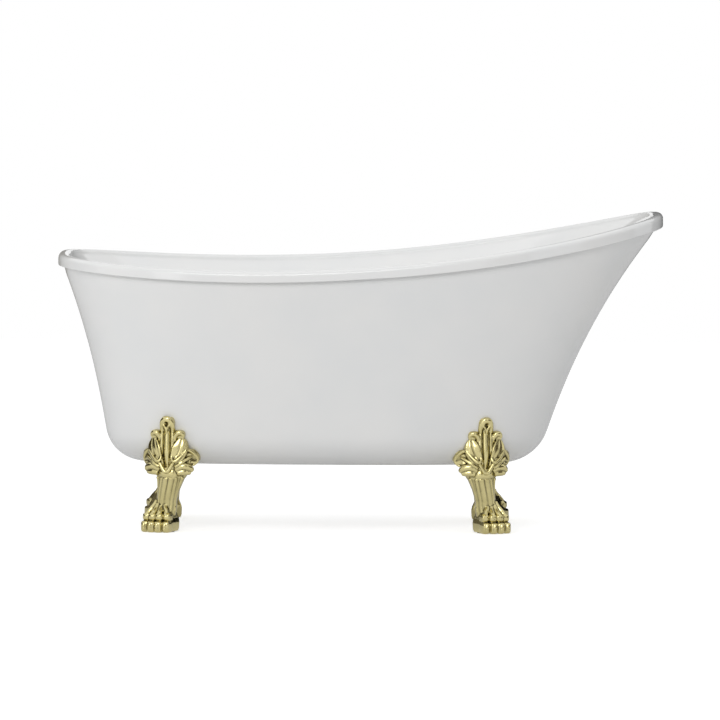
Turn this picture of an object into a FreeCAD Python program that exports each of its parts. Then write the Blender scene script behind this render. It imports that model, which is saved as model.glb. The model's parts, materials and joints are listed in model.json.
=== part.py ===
import FreeCAD, Part

import math
import os
import re
from FreeCAD import Placement, Rotation, Vector

# Slipper bathtub on four claw feet.
# Origin: on the floor, under the middle of the tub.
# +X points to the high head end, -X to the low tap end, +Z up, and the tub is symmetric about Y = 0.
# Millimetres.

document = FreeCAD.newDocument("ClawfootBathtub")

# ---------------------------------------------------------------- sizes

driving_sizes = {
    # outline of the tub
    "tub_length": 1500,
    "rim_breadth": 744,
    "tap_end_height": 677,
    "middle_height": 656,
    "head_end_height": 783,
    "bottom_height": 165,
    "tap_end_flare": 133,
    "head_end_flare": 309,
    "bottom_breadth": 516,
    "skirt_corner": 75,
    "tap_end_fullness": 3.3,
    "head_end_fullness": 2.8,
    # acrylic sheet and its rolled rim
    "sheet_wall": 6,
    "rim_depth": 34,
    "rim_overhang": 14,
    "rim_inboard": 34,
    "rim_outer_round": 12,
    "rim_inner_round": 16,
    # basin
    "wall_gap": 84,
    "floor_corner": 55,
    # frame between the two shells
    "rail_size": 30,
    "rail_wall": 2,
    "rail_track": 112,
    "rail_tap_inset": 117,
    "rail_head_inset": 101,
    "cross_member_pitch": 240,
    "board_thickness": 18,
    "board_tap_inset": 137,
    "board_head_inset": 131,
    "board_breadth": 250,
    "board_notch": 100,
    "slot_tap_inset": 62,
    "slot_head_inset": 201,
    "slot_breadth": 72,
    # claw feet
    "tap_feet_inset": 146,
    "head_feet_inset": 133,
    "tap_feet_track": 410,
    "head_feet_track": 376,
    "foot_splay": 16,
    "leaf_top": 288,
    "leaf_half_breadth": 66,
    "leg_half_breadth": 26,
    "paw_half_breadth": 45,
    "paw_height": 53,
    "knuckle_half_breadth": 11,
    "knuckle_half_depth": 15,
    "knuckle_half_height": 13,
    "claw_half_breadth": 9,
    "claw_half_depth": 13,
    "claw_half_height": 15,
    "sole_gap": 2,
    "lug_thickness": 8,
    "lug_half_breadth": 36,
    "lug_reach": 108,
    "bolt_reach": 89,
    "bolt_pitch": 44,
    # bolts, brackets
    "bolt_radius": 5,
    "bolt_hole_clearance": 0.5,
    "bolt_head_height": 6.4,
    "bolt_hex_radius": 9.2,
    "nut_height": 8,
    "washer_radius": 10,
    "washer_thickness": 2,
    "bracket_plate": 6,
    "bracket_half_length": 35,
    "bracket_edge": 14,
    # levellers
    "stud_radius": 4.95,
    "stud_clearance": 0.05,
    "stud_length": 64,
    "stud_set_back": 8,
    "pad_radius": 18,
    "pad_height": 8,
    "pad_floor": 3,
    "lock_nut_height": 6,
    "recess_radius": 21,
    "recess_height": 18,
    # waste under the floor
    "drain_inset": 217,
    "drain_flange_radius": 35,
    "drain_flange_height": 3,
    "drain_throat_radius": 22,
    "drain_throat_wall": 4,
    "drain_throat_length": 30,
    "drain_gasket_height": 3,
    "drain_nut_height": 7,
    "drain_nut_radius": 34,
    "spider_bar": 5,
    "tee_wall": 5,
    "tee_bottom": 168,
    "tee_inlet_height": 188,
    "tee_inlet_length": 30,
    "tee_inlet_wall": 4,
    "outlet_radius": 19,
    "outlet_bottom": 156,
    "push_fit": 0.1,
    "pipe_radius": 16,
    "pipe_wall": 1.5,
    "pipe_bend": 50,
    "pipe_bend_inset": 52,
    "slip_nut_radius": 23,
    "slip_nut_height": 14,
    # stopper
    "stopper_radius": 30,
    "stopper_height": 3,
    "stopper_seal_radius": 26,
    "stopper_seal_height": 2,
    "stopper_gap": 0.3,
    "stopper_stem_radius": 4,
    "stopper_stem_length": 42,
    "guide_height": 10,
    # overflow
    "overflow_height": 572,
    "overflow_hole_radius": 22,
    "overflow_pad_radius": 40,
    "overflow_pad_rise": 2.8,
    "overflow_pad_depth": 8,
    "overflow_plate_radius": 37,
    "overflow_plate_height": 4,
    "overflow_slots": 6,
    "overflow_slot_radius": 4,
    "overflow_gasket_height": 3,
    "elbow_radius": 19,
    "elbow_length": 60,
    "elbow_socket": 25,
    "elbow_flange_height": 3,
    "overflow_screw_radius": 3,
    "overflow_screw_head": 2.5,
}

# Places that follow from the sizes above, worked out by the sheet itself.
# Reaches are counted from the middle of the tub, insets from the ends of its bottom.
following_sizes = {
    "bottom_tap_reach": "tub_length / 2 - tap_end_flare",
    "bottom_head_reach": "tub_length / 2 - head_end_flare",
    "rail_tap_reach": "bottom_tap_reach - rail_tap_inset",
    "rail_head_reach": "bottom_head_reach - rail_head_inset",
    "board_tap_reach": "bottom_tap_reach - board_tap_inset",
    "board_head_reach": "bottom_head_reach - board_head_inset",
    "slot_tap_reach": "bottom_tap_reach - slot_tap_inset",
    "slot_head_reach": "bottom_head_reach - slot_head_inset",
    "drain_reach": "bottom_tap_reach - drain_inset",
    "pipe_bend_reach": "bottom_tap_reach - pipe_bend_inset",
    "tap_feet_reach": "tap_feet_inset - bottom_tap_reach",
    "head_feet_reach": "bottom_head_reach - head_feet_inset",
    "feet_middle": "(tap_feet_reach + head_feet_reach) / 2",
    "tee_radius": "drain_throat_radius + tee_wall",
    "flange_top": "bottom_height + sheet_wall",
    "board_bottom": "flange_top + rail_size",
    "floor_underside": "board_bottom + board_thickness",
    "floor_top": "floor_underside + sheet_wall",
    "lug_bottom": "bottom_height - lug_thickness",
    "bracket_top": "flange_top + bracket_plate",
    "stopper_bottom": "floor_top + drain_flange_height + stopper_gap",
}

sheet = document.addObject("Spreadsheet::Sheet", "Sizes")
rows = [(alias, str(number)) for alias, number in driving_sizes.items()]
rows += [(alias, "=" + formula) for alias, formula in following_sizes.items()]
for row, (alias, content) in enumerate(rows, start=1):
    sheet.set(f"A{row}", alias)
    sheet.set(f"B{row}", content)
    sheet.setAlias(f"B{row}", alias)
document.recompute()
cell_values = {alias: float(sheet.get(alias)) for alias, content in rows}


def size(alias):
    """Value of one cell of the sheet."""
    return cell_values[alias]


# ---------------------------------------------------------------- building helpers

alias_words = re.compile(r"\b(" + "|".join(alias for alias, content in rows) + r")\b")
sub_parts = []


def bind(thing, **formulas):
    """Tie properties to the sheet. A property's dots are written as double underscores."""
    for name, formula in formulas.items():
        thing.setExpression(name.replace("__", "."), alias_words.sub(r"Sizes.\1", formula))
    return thing


def put(thing, x="0", y="0", z="0"):
    """Tie the thing's position to the sheet."""
    return bind(thing, Placement__Base__x=x, Placement__Base__y=y, Placement__Base__z=z)


def box(name, length, width, height, x="0", y="0", z="0"):
    block = bind(document.addObject("Part::Box", name), Length=length, Width=width, Height=height)
    return put(block, x, y, z)


def cylinder(name, radius, height, x="0", y="0", z="0"):
    rod = bind(document.addObject("Part::Cylinder", name), Radius=radius, Height=height)
    return put(rod, x, y, z)


def hexagon(name, radius, height, x="0", y="0", z="0"):
    prism = bind(document.addObject("Part::Prism", name), Circumradius=radius, Height=height)
    prism.Polygon = 6
    return put(prism, x, y, z)


def ellipsoid(name, along_x, along_y, along_z, x="0", y="0", z="0"):
    ball = document.addObject("Part::Ellipsoid", name)
    bind(ball, Radius1=along_z, Radius2=along_x, Radius3=along_y)
    return put(ball, x, y, z)


def fuse(name, *pieces):
    joined = document.addObject("Part::MultiFuse", name)
    joined.Shapes = list(pieces)
    return joined


def fuse_in_turn(name, first, *others):
    """Union made one piece at a time, for pieces whose faces nearly touch."""
    joined = first
    for number, piece in enumerate(others):
        step = document.addObject("Part::Fuse", f"{name}_{number}")
        step.Base, step.Tool = joined, piece
        joined = step
    return joined


def group(name, pieces):
    several = document.addObject("Part::Compound", name)
    several.Links = list(pieces)
    return several


def cut(name, base, *tools):
    remainder = document.addObject("Part::Cut", name)
    remainder.Base = base
    remainder.Tool = tools[0] if len(tools) == 1 else group(name + "_tools", tools)
    return remainder


def ring(name, outer, inner, height, x="0", y="0", z="0"):
    """Flat ring or tube that stands on its axis."""
    return cut(name, cylinder(name + "_outside", outer, height, x, y, z),
               cylinder(name + "_bore", inner, height, x, y, z))


def solid_feature(name, shape):
    feature = document.addObject("Part::Feature", name)
    feature.Shape = shape
    return feature


def sub_part(node, thing):
    """Give a finished piece the name under which it is kept."""
    thing.Label = node
    sub_parts.append(thing)
    return thing


# ---------------------------------------------------------------- surface of the tub

flare_power = 2.5
end_steadiness = 0.62
side_steadiness = 0.75


def swell(level, rim_level, at_bottom, at_rim, steadiness):
    """Half-size of the tub at a level: part steady flare, part flare that grows towards the rim."""
    share = (level - size("bottom_height")) / (rim_level - size("bottom_height"))
    if share > 1:
        slope = steadiness + (1 - steadiness) * flare_power
        return at_rim + (at_rim - at_bottom) * slope * (share - 1)
    share = max(share, 0)
    return at_bottom + (at_rim - at_bottom) * (steadiness * share + (1 - steadiness) * share ** flare_power)


def outline(angle, level, shrink=0):
    """Point of the skirt's outer face at a level, in a direction seen from above."""
    rim_reach = size("tub_length") / 2 - size("rim_overhang")
    tap_reach = swell(level, size("tap_end_height") - size("rim_depth"),
                      size("bottom_tap_reach"), rim_reach, end_steadiness)
    head_reach = swell(level, size("head_end_height") - size("rim_depth"),
                       size("bottom_head_reach"), rim_reach, end_steadiness)
    low_rim = size("middle_height") - size("rim_depth")
    half_breadth = swell(level, low_rim, size("bottom_breadth") / 2,
                         size("rim_breadth") / 2 - size("rim_overhang"), side_steadiness) - shrink
    bottom_middle = (size("bottom_head_reach") - size("bottom_tap_reach")) / 2
    middle = bottom_middle * (1 - (level - size("bottom_height")) / (low_rim - size("bottom_height")))
    if math.cos(angle) > 0:
        reach, fullness = head_reach - middle - shrink, size("head_end_fullness")
    else:
        reach, fullness = tap_reach + middle - shrink, size("tap_end_fullness")
    across = abs(math.cos(angle) / reach) ** fullness + abs(math.sin(angle) / half_breadth) ** fullness
    distance = across ** (-1 / fullness)
    return middle + distance * math.cos(angle), distance * math.sin(angle)


def outward(angle, level, shrink=0):
    """Unit vector in plan, square to the outline."""
    step = 0.01
    x1, y1 = outline(angle - step, level, shrink)
    x2, y2 = outline(angle + step, level, shrink)
    length = math.hypot(x2 - x1, y2 - y1)
    return (y2 - y1) / length, (x1 - x2) / length


def offset_point(angle, level, out, height, shrink=0):
    """Point that lies out from the outline of one level, at a height of its own."""
    x, y = outline(angle, level, shrink)
    nx, ny = outward(angle, level, shrink)
    return Vector(x + out * nx, y + out * ny, height)


settling_steps = 25


def lip_level(angle):
    """Level of the rim's lower edge, which follows the sheer of the rim."""
    half_length = size("tub_length") / 2 - size("rim_overhang")
    tilt = (size("head_end_height") - size("tap_end_height")) / 2
    rise = (size("head_end_height") + size("tap_end_height")) / 2 - size("middle_height")
    level = size("middle_height") - size("rim_depth")
    for repeat in range(settling_steps):
        along = outline(angle, level)[0] / half_length
        level = size("middle_height") + tilt * along + rise * along ** 2 - size("rim_depth")
    return level


points_round = 72
ring_angles = [2 * math.pi * step / points_round for step in range(points_round)]
lip_levels = {angle: lip_level(angle) for angle in ring_angles}


def closed_wire(point_at):
    curve = Part.BSplineCurve()
    curve.interpolate([point_at(angle) for angle in ring_angles], PeriodicFlag=True)
    return Part.Wire([curve.toShape()])


def level_wire(level, out=0, shrink=0):
    return closed_wire(lambda angle: offset_point(angle, level, out, level, shrink))


def rim_wire(out, rise):
    """Wire that runs round the tub, out from the skirt's face and up from the rim's lower edge."""
    return closed_wire(lambda angle: offset_point(angle, lip_levels[angle], out, lip_levels[angle] + rise))


def round_wires(out, rise, radius, start, end, steps=5):
    """Rim wires round a quarter circle of the rim's section."""
    turns = [math.radians(start + (end - start) * step / steps) for step in range(steps + 1)]
    return [rim_wire(out + radius * math.cos(turn), rise + radius * math.sin(turn)) for turn in turns]


# ---------------------------------------------------------------- outer skirt

wall = size("sheet_wall")
straight_levels = (270, 300, 330, 360, 390, 420)
upper_wires = 6
corner_turns = [math.radians(degrees) for degrees in range(0, 91, 15)]


def skirt_lower_wires(inward):
    """The skirt's rounded bottom edge and the level part of its wall, moved inward by a thickness."""
    bottom = size("bottom_height")
    corner = size("skirt_corner")
    wires = []
    for turn in corner_turns:
        level = bottom + corner - (corner - inward) * math.cos(turn)
        wires.append(level_wire(level, -inward, (corner - inward) * (1 - math.sin(turn))))
    return wires + [level_wire(level, -inward) for level in straight_levels]


def skirt_upper_wires(inward):
    """From the level part of the wall up to the underside of the rolled rim."""
    start = straight_levels[-1]
    wires = []
    for step in range(1, upper_wires + 1):
        share = step / upper_wires
        wires.append(closed_wire(lambda angle: offset_point(
            angle, start + (lip_levels[angle] - start) * share, -inward,
            start + (lip_levels[angle] - start) * share)))
    wires.append(rim_wire(-inward, size("rim_depth") - wall))
    return wires


skirt_outside = skirt_lower_wires(0)
skirt_tray = Part.makeLoft(skirt_outside + skirt_upper_wires(0)
                           + (skirt_lower_wires(wall) + skirt_upper_wires(wall))[::-1], True, True)
skirt_blank = solid_feature("SkirtTray", skirt_tray)
# Solid that fills the lower skirt, used to fit the feet against it.
skirt_core = solid_feature("SkirtCore", Part.makeLoft(skirt_outside, True, True))

access_slot = fuse(
    "AccessSlot",
    box("SlotMiddle", "slot_tap_reach + slot_head_reach - slot_breadth", "slot_breadth", "4 * sheet_wall",
        "slot_breadth / 2 - slot_tap_reach", "-slot_breadth / 2", "bottom_height - sheet_wall"),
    cylinder("SlotTapEnd", "slot_breadth / 2", "4 * sheet_wall",
             "slot_breadth / 2 - slot_tap_reach", "0", "bottom_height - sheet_wall"),
    cylinder("SlotHeadEnd", "slot_breadth / 2", "4 * sheet_wall",
             "slot_head_reach - slot_breadth / 2", "0", "bottom_height - sheet_wall"))


# ---------------------------------------------------------------- basin with rolled rim

def basin_corner_wires(thickness):
    """The round between the basin's floor and its wall."""
    corner = size("floor_corner")
    inset = size("wall_gap") - size("rim_inboard")
    wires = []
    for turn in corner_turns:
        level = size("floor_top") + corner - (corner + thickness) * math.cos(turn)
        shrink = inset + corner * (1 - math.sin(turn)) + thickness * (1 - math.sin(turn))
        wires.append(level_wire(level, thickness - size("rim_inboard"), shrink))
    return wires


def basin_wall_point(angle, share, thickness, lip):
    """Point of the basin's wall, from the floor's round (share 0) to the rim (share 1)."""
    foot = size("floor_top") + size("floor_corner")
    rise = size("rim_depth") - size("rim_inner_round")
    shrink = (size("wall_gap") - size("rim_inboard")) * (1 - share) ** 0.5
    return offset_point(angle, foot + (lip - foot) * share, thickness - size("rim_inboard"),
                        foot + (lip + rise - foot) * share, shrink)


wall_shares = (0.1, 0.22, 0.36, 0.5, 0.64, 0.76, 0.86, 0.93, 0.98)


def basin_wall_wires(thickness):
    return [closed_wire(lambda angle: basin_wall_point(angle, share, thickness, lip_levels[angle]))
            for share in wall_shares]


rim_top = size("rim_depth")
inner_round = size("rim_inner_round")
outer_round = size("rim_outer_round")
inner_centre = inner_round - size("rim_inboard")
outer_centre = size("rim_overhang") - outer_round
visible_side = basin_corner_wires(0) + basin_wall_wires(0)
visible_side += round_wires(inner_centre, rim_top - inner_round, inner_round, 180, 90)
visible_side += round_wires(outer_centre, rim_top - outer_round, outer_round, 90, 0)
visible_side.append(rim_wire(size("rim_overhang"), 0))
hidden_side = [rim_wire(size("rim_overhang") - wall, 0)]
hidden_side += round_wires(outer_centre, rim_top - outer_round, outer_round - wall, 0, 90)
hidden_side += round_wires(inner_centre, rim_top - inner_round, inner_round - wall, 90, 180)
hidden_side += basin_wall_wires(wall)[::-1] + basin_corner_wires(wall)[::-1]
basin_blank = solid_feature("BasinTray", Part.makeLoft(visible_side + hidden_side, True, True))

# Where the overflow goes through the tap end wall, and which way that wall faces.
tap_direction = math.pi
tap_lip = lip_level(tap_direction)
nearby = 0.05
wall_foot = size("floor_top") + size("floor_corner")
wall_head = tap_lip + size("rim_depth") - size("rim_inner_round")
overflow_share = (size("overflow_height") - wall_foot) / (wall_head - wall_foot)
overflow_point = basin_wall_point(tap_direction, overflow_share, 0, tap_lip)
wall_above = basin_wall_point(tap_direction, overflow_share + nearby, 0, tap_lip)
wall_below = basin_wall_point(tap_direction, overflow_share - nearby, 0, tap_lip)
wall_line = wall_above - wall_below
overflow_facing = Vector(wall_line.z, 0, -wall_line.x)
overflow_place = Placement(overflow_point, Rotation(Vector(0, 0, 1), overflow_facing))


def at_overflow(thing):
    """Move a piece that is drawn about the Z axis on to the overflow's axis."""
    thing.Placement = overflow_place
    return thing


overflow_pad = at_overflow(group("OverflowPad", [
    cylinder("OverflowPadDisc", "overflow_pad_radius", "overflow_pad_depth + overflow_pad_rise",
             z="-overflow_pad_depth")]))
overflow_drill = at_overflow(group("OverflowDrill", [
    cylinder("OverflowDrillRod", "overflow_hole_radius", "4 * overflow_pad_depth",
             z="-2 * overflow_pad_depth")]))
drain_drill = cylinder("DrainDrill", "drain_throat_radius + push_fit", "4 * sheet_wall",
                       "-drain_reach", "0", "floor_underside - sheet_wall")
sub_part("basin", cut("Basin", fuse("BasinWithPad", basin_blank, overflow_pad),
                      overflow_drill, drain_drill))


# ---------------------------------------------------------------- claw feet and what holds them

corners = {
    "tap_near": ("tap_feet_reach", "-tap_feet_track / 2", "-foot_splay"),
    "tap_far": ("tap_feet_reach", "tap_feet_track / 2", "180 + foot_splay"),
    "head_near": ("head_feet_reach", "-head_feet_track / 2", "foot_splay"),
    "head_far": ("head_feet_reach", "head_feet_track / 2", "180 - foot_splay"),
}


def at_corner(thing, corner):
    """Move a piece that is drawn about the foot's own axis, front towards -Y, to one corner of the tub."""
    x, y, turn = corners[corner]
    thing.Placement = Placement(Vector(0, 0, 0), Rotation(Vector(0, 0, 1), 0))
    put(thing, x, y)
    return bind(thing, Placement__Rotation__Angle=turn)


def ellipse_wire(level, half_breadth, half_depth, middle):
    turns = [math.radians(15 * step) for step in range(24)]
    curve = Part.BSplineCurve()
    curve.interpolate([Vector(half_breadth * math.cos(turn), middle + half_depth * math.sin(turn), level)
                       for turn in turns], PeriodicFlag=True)
    return Part.Wire([curve.toShape()])


leaf_overlap = 18
toe_places = (-0.72, -0.25, 0.25, 0.72)


def foot_blank(corner):
    """Solid foot before it is fitted: paw, leg and leaf as ellipses stacked up the foot.
    Each ellipse is given by its level, half breadth, half depth and how far its middle lies back."""
    leaf, leg, paw = size("leaf_half_breadth"), size("leg_half_breadth"), size("paw_half_breadth")
    sole, knuckle, top = size("sole_gap"), size("paw_height"), size("leaf_top")
    leaf_low = size("bottom_height") - leaf_overlap
    paw_wires = [
        ellipse_wire(sole, 0.92 * paw, 38, -18),
        ellipse_wire(0.4 * knuckle, 0.96 * paw, 40, -20),
        ellipse_wire(0.75 * knuckle, 0.82 * paw, 33, -14),
        ellipse_wire(1.1 * knuckle, leg, 24, 0),
    ]
    leg_wires = [
        ellipse_wire(knuckle, leg + 1, 25, -1),
        ellipse_wire(1.4 * knuckle, leg - 1, 21, 4),
        ellipse_wire(0.68 * leaf_low, leg + 1, 21, 4),
        ellipse_wire(0.88 * leaf_low, leg + 7, 25, 0),
        ellipse_wire(leaf_low + 12, leg + 18, 32, -6),
    ]
    leaf_rise = top - leaf_low
    leaf_wires = [
        ellipse_wire(leaf_low, 0.7 * leaf, 22, -12),
        ellipse_wire(leaf_low + 0.12 * leaf_rise, 0.94 * leaf, 28, -18),
        ellipse_wire(leaf_low + 0.24 * leaf_rise, leaf, 30, -22),
        ellipse_wire(leaf_low + 0.45 * leaf_rise, 0.78 * leaf, 28, -26),
        ellipse_wire(leaf_low + 0.69 * leaf_rise, 0.58 * leaf, 25, -30),
        ellipse_wire(leaf_low + 0.87 * leaf_rise, 0.32 * leaf, 20, -33),
        ellipse_wire(top, 0.12 * leaf, 10, -40),
    ]
    pieces = []
    for name, wires in (("Paw", paw_wires), ("Leg", leg_wires), ("Leaf", leaf_wires)):
        pieces.append(solid_feature(name + "_" + corner, Part.makeLoft(wires, True, True)))
    for number, side in enumerate(toe_places):
        name = f"_{number}_{corner}"
        x = f"{side} * paw_half_breadth"
        drawn_back = 10 * abs(side)
        pieces.append(ellipsoid("Knuckle" + name, "knuckle_half_breadth", "knuckle_half_depth",
                                "knuckle_half_height", x, f"{drawn_back} - 46", "0.68 * paw_height"))
        pieces.append(ellipsoid("Claw" + name, "claw_half_breadth", "claw_half_depth",
                                "claw_half_height", x, f"{drawn_back} - 55", "0.28 * paw_height"))
    pieces.append(box("Lug_" + corner, "2 * lug_half_breadth", "lug_reach", "lug_thickness",
                      "-lug_half_breadth", "0", "lug_bottom"))
    return fuse_in_turn("FootBlank_" + corner, *pieces)


def bolt_places(corner, name, make):
    """The same piece at both bolt holes of a foot, as one group at that foot."""
    pair = [make(f"{name}_{side}_{corner}", f"{sign} * bolt_pitch / 2")
            for side, sign in (("a", -1), ("b", 1))]
    return at_corner(group(f"{name}_pair_{corner}", pair), corner)


def bolt(name, x):
    head = hexagon(name + "_head", "bolt_hex_radius", "bolt_head_height", x, "bolt_reach",
                   "lug_bottom - bolt_head_height")
    shank = cylinder(name + "_shank", "bolt_radius",
                     "lug_thickness + sheet_wall + bracket_plate + washer_thickness + 1.4 * nut_height",
                     x, "bolt_reach", "lug_bottom")
    return fuse(name, head, shank)


def nut(name, x):
    z = "bracket_top + washer_thickness"
    return cut(name, hexagon(name + "_body", "bolt_hex_radius", "nut_height", x, "bolt_reach", z),
               cylinder(name + "_bore", "bolt_radius", "nut_height", x, "bolt_reach", z))


def washer(name, x):
    return ring(name, "washer_radius", "bolt_radius + bolt_hole_clearance", "washer_thickness",
                x, "bolt_reach", "bracket_top")


def bolt_drill(name, x):
    return cylinder(name, "bolt_radius + bolt_hole_clearance",
                    "lug_thickness + sheet_wall + 4 * bracket_plate",
                    x, "bolt_reach", "lug_bottom - bracket_plate")


def foot_drill(corner):
    """Everything that is taken out under the foot: sole plane, leveller recess and stud bore."""
    below = box("BelowSole_" + corner, "4 * lug_reach", "4 * lug_reach", "lug_reach",
                "-2 * lug_reach", "-2 * lug_reach", "sole_gap - lug_reach")
    recess = cylinder("Recess_" + corner, "recess_radius", "recess_height", "0", "-stud_set_back", "0")
    bore = cylinder("StudBore_" + corner, "stud_radius + stud_clearance", "stud_length + pad_height",
                    "0", "-stud_set_back", "0")
    return fuse("FootDrill_" + corner, below, recess, bore)


drills = {corner: bolt_places(corner, "BoltDrill", bolt_drill) for corner in corners}

for corner in corners:
    fitted = cut("FootPlaced_" + corner, foot_blank(corner), foot_drill(corner))
    at_corner(fitted, corner)
    sub_part("claw_foot_" + corner, cut("ClawFoot_" + corner, fitted, skirt_core, drills[corner]))

sub_part("outer_skirt", cut("OuterSkirt", skirt_blank, access_slot, *drills.values()))
sub_part("foot_bolts", group("FootBolts", [bolt_places(corner, "Bolt", bolt) for corner in corners]))
sub_part("foot_washers", group("FootWashers", [bolt_places(corner, "Washer", washer)
                                               for corner in corners]))
sub_part("foot_nuts", group("FootNuts", [bolt_places(corner, "Nut", nut) for corner in corners]))


# ---------------------------------------------------------------- levellers in the soles

for corner in corners:
    stud = cylinder("Stud_" + corner, "stud_radius", "stud_length", "0", "-stud_set_back", "pad_floor")
    sub_part("leveller_stud_" + corner, at_corner(group("StudPlaced_" + corner, [stud]), corner))
    pad = cut("Pad_" + corner, cylinder("PadDisc_" + corner, "pad_radius", "pad_height",
                                        "0", "-stud_set_back", "0"),
              cylinder("PadSocket_" + corner, "stud_radius + stud_clearance", "pad_height",
                       "0", "-stud_set_back", "pad_floor"))
    sub_part("leveller_pad_" + corner, at_corner(group("PadPlaced_" + corner, [pad]), corner))


def lock_nut(corner):
    z = "recess_height - lock_nut_height"
    body = hexagon("LockNutBody_" + corner, "bolt_hex_radius", "lock_nut_height", "0", "-stud_set_back", z)
    bore = cylinder("LockNutBore_" + corner, "stud_radius + stud_clearance", "lock_nut_height",
                    "0", "-stud_set_back", z)
    return at_corner(group("LockNutPlaced_" + corner, [cut("LockNut_" + corner, body, bore)]), corner)


sub_part("leveller_lock_nuts", group("LevellerLockNuts", [lock_nut(corner) for corner in corners]))


# ---------------------------------------------------------------- frame and board under the basin

def square_tube(name, length, x, y, along_y=False):
    """Hollow square tube that lies on the skirt's bottom flange."""
    inner = "rail_size - 2 * rail_wall"
    if along_y:
        outside = box(name + "_outside", "rail_size", length, "rail_size", x, y, "flange_top")
        inside = box(name + "_inside", inner, length, inner, x + " + rail_wall", y,
                     "flange_top + rail_wall")
    else:
        outside = box(name + "_outside", length, "rail_size", "rail_size", x, y, "flange_top")
        inside = box(name + "_inside", length, inner, inner, x, y + " + rail_wall",
                     "flange_top + rail_wall")
    return cut(name, outside, inside)


rail_length = "rail_tap_reach + rail_head_reach"
sub_part("frame_rail_near", square_tube("RailNear", rail_length, "-rail_tap_reach",
                                        "-rail_track / 2 - rail_size / 2"))
sub_part("frame_rail_far", square_tube("RailFar", rail_length, "-rail_tap_reach",
                                       "rail_track / 2 - rail_size / 2"))
for name, places in (("tap", -1), ("middle", 0), ("head", 1)):
    x = f"feet_middle + {places} * cross_member_pitch - rail_size / 2"
    sub_part("cross_member_" + name, square_tube("CrossMember_" + name, "rail_track - rail_size", x,
                                                 "rail_size / 2 - rail_track / 2", along_y=True))

board_blank = box("BoardBlank", "board_tap_reach + board_head_reach", "board_breadth", "board_thickness",
                  "-board_tap_reach", "-board_breadth / 2", "board_bottom")
board_cut = box("BoardNotch", "board_tap_reach - drain_reach", "board_notch", "board_thickness",
                "-board_tap_reach", "-board_notch / 2", "board_bottom")
board_hole = cylinder("BoardHole", "board_notch / 2", "board_thickness", "-drain_reach", "0", "board_bottom")
sub_part("base_board", cut("BaseBoard", board_blank, board_cut, board_hole))

for corner, (foot_x, foot_y, turn) in corners.items():
    end = 1 if corner.startswith("tap") else -1
    side = -1 if corner.endswith("near") else 1
    bolts_x = f"{foot_x} + {end} * sin(foot_splay * 1deg) * bolt_reach"
    outer_face = "(rail_track / 2 + rail_size / 2)"
    width = f"abs({foot_y}) - cos(foot_splay * 1deg) * bolt_reach + bracket_edge - {outer_face}"
    x = f"{bolts_x} - bracket_half_length"
    plate_y = f"-{outer_face} - ({width})" if side < 0 else outer_face
    upright_y = f"-{outer_face} - bracket_plate" if side < 0 else outer_face
    plate = box("BracketPlate_" + corner, "2 * bracket_half_length", width, "bracket_plate",
                x, plate_y, "flange_top")
    upright = box("BracketUpright_" + corner, "2 * bracket_half_length", "bracket_plate", "rail_size",
                  x, upright_y, "flange_top")
    sub_part("foot_bracket_" + corner,
             cut("FootBracket_" + corner, fuse("BracketBlank_" + corner, plate, upright), drills[corner]))


# ---------------------------------------------------------------- waste, stopper

def on_drain(name, outer, inner, height, z):
    return ring(name, outer, inner, height, "-drain_reach", "0", z)


throat_bore = "drain_throat_radius - drain_throat_wall"
throat_bottom = "floor_top - drain_throat_length"
guide_bottom = f"{throat_bottom} + 2"
flange_disc = cylinder("DrainFlangeDisc", "drain_flange_radius", "drain_flange_height",
                       "-drain_reach", "0", "floor_top")
throat = cylinder("DrainThroat", "drain_throat_radius", "drain_throat_length",
                  "-drain_reach", "0", throat_bottom)
throat_hole = cylinder("DrainThroatBore", throat_bore, "drain_throat_length + drain_flange_height",
                       "-drain_reach", "0", throat_bottom)
spider_bars = [
    box("SpiderBarAlong", f"2 * ({throat_bore}) + 2", "spider_bar", "guide_height / 2",
        f"-drain_reach - ({throat_bore}) - 1", "-spider_bar / 2", guide_bottom),
    box("SpiderBarAcross", "spider_bar", f"2 * ({throat_bore}) + 2", "guide_height / 2",
        "-drain_reach - spider_bar / 2", f"-({throat_bore}) - 1", guide_bottom),
    cylinder("SpiderBoss", "stopper_stem_radius + 3", "guide_height", "-drain_reach", "0", guide_bottom)]
stem_hole = cylinder("StemHole", "stopper_stem_radius + stud_clearance", "2 * guide_height",
                     "-drain_reach", "0", f"{guide_bottom} - guide_height / 2")
hollow_flange = cut("DrainFlangeHollow", fuse("DrainFlangeBlank", flange_disc, throat), throat_hole)
sub_part("drain_flange", cut("DrainFlange", fuse("DrainFlangeSpider", hollow_flange, *spider_bars),
                             stem_hole))
sub_part("drain_gasket", on_drain("DrainGasket", "drain_nut_radius", "drain_throat_radius",
                                  "drain_gasket_height", "floor_underside - drain_gasket_height"))
nut_z = "floor_underside - drain_gasket_height - drain_nut_height"
sub_part("drain_lock_nut", cut(
    "DrainLockNut",
    hexagon("DrainNutBody", "drain_nut_radius", "drain_nut_height", "-drain_reach", "0", nut_z),
    cylinder("DrainNutBore", "drain_throat_radius", "drain_nut_height", "-drain_reach", "0", nut_z)))

tee_top = nut_z
inlet_end = "drain_reach + tee_radius + tee_inlet_length"
tee_body = cylinder("TeeBody", "tee_radius", f"{tee_top} - tee_bottom", "-drain_reach", "0", "tee_bottom")


def lying_cylinder(name, radius, length, x, z):
    """Cylinder along X."""
    rod = bind(document.addObject("Part::Cylinder", name), Radius=radius, Height=length)
    rod.Placement = Placement(Vector(0, 0, 0), Rotation(Vector(0, 1, 0), 90))
    return put(rod, x, "0", z)


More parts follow.
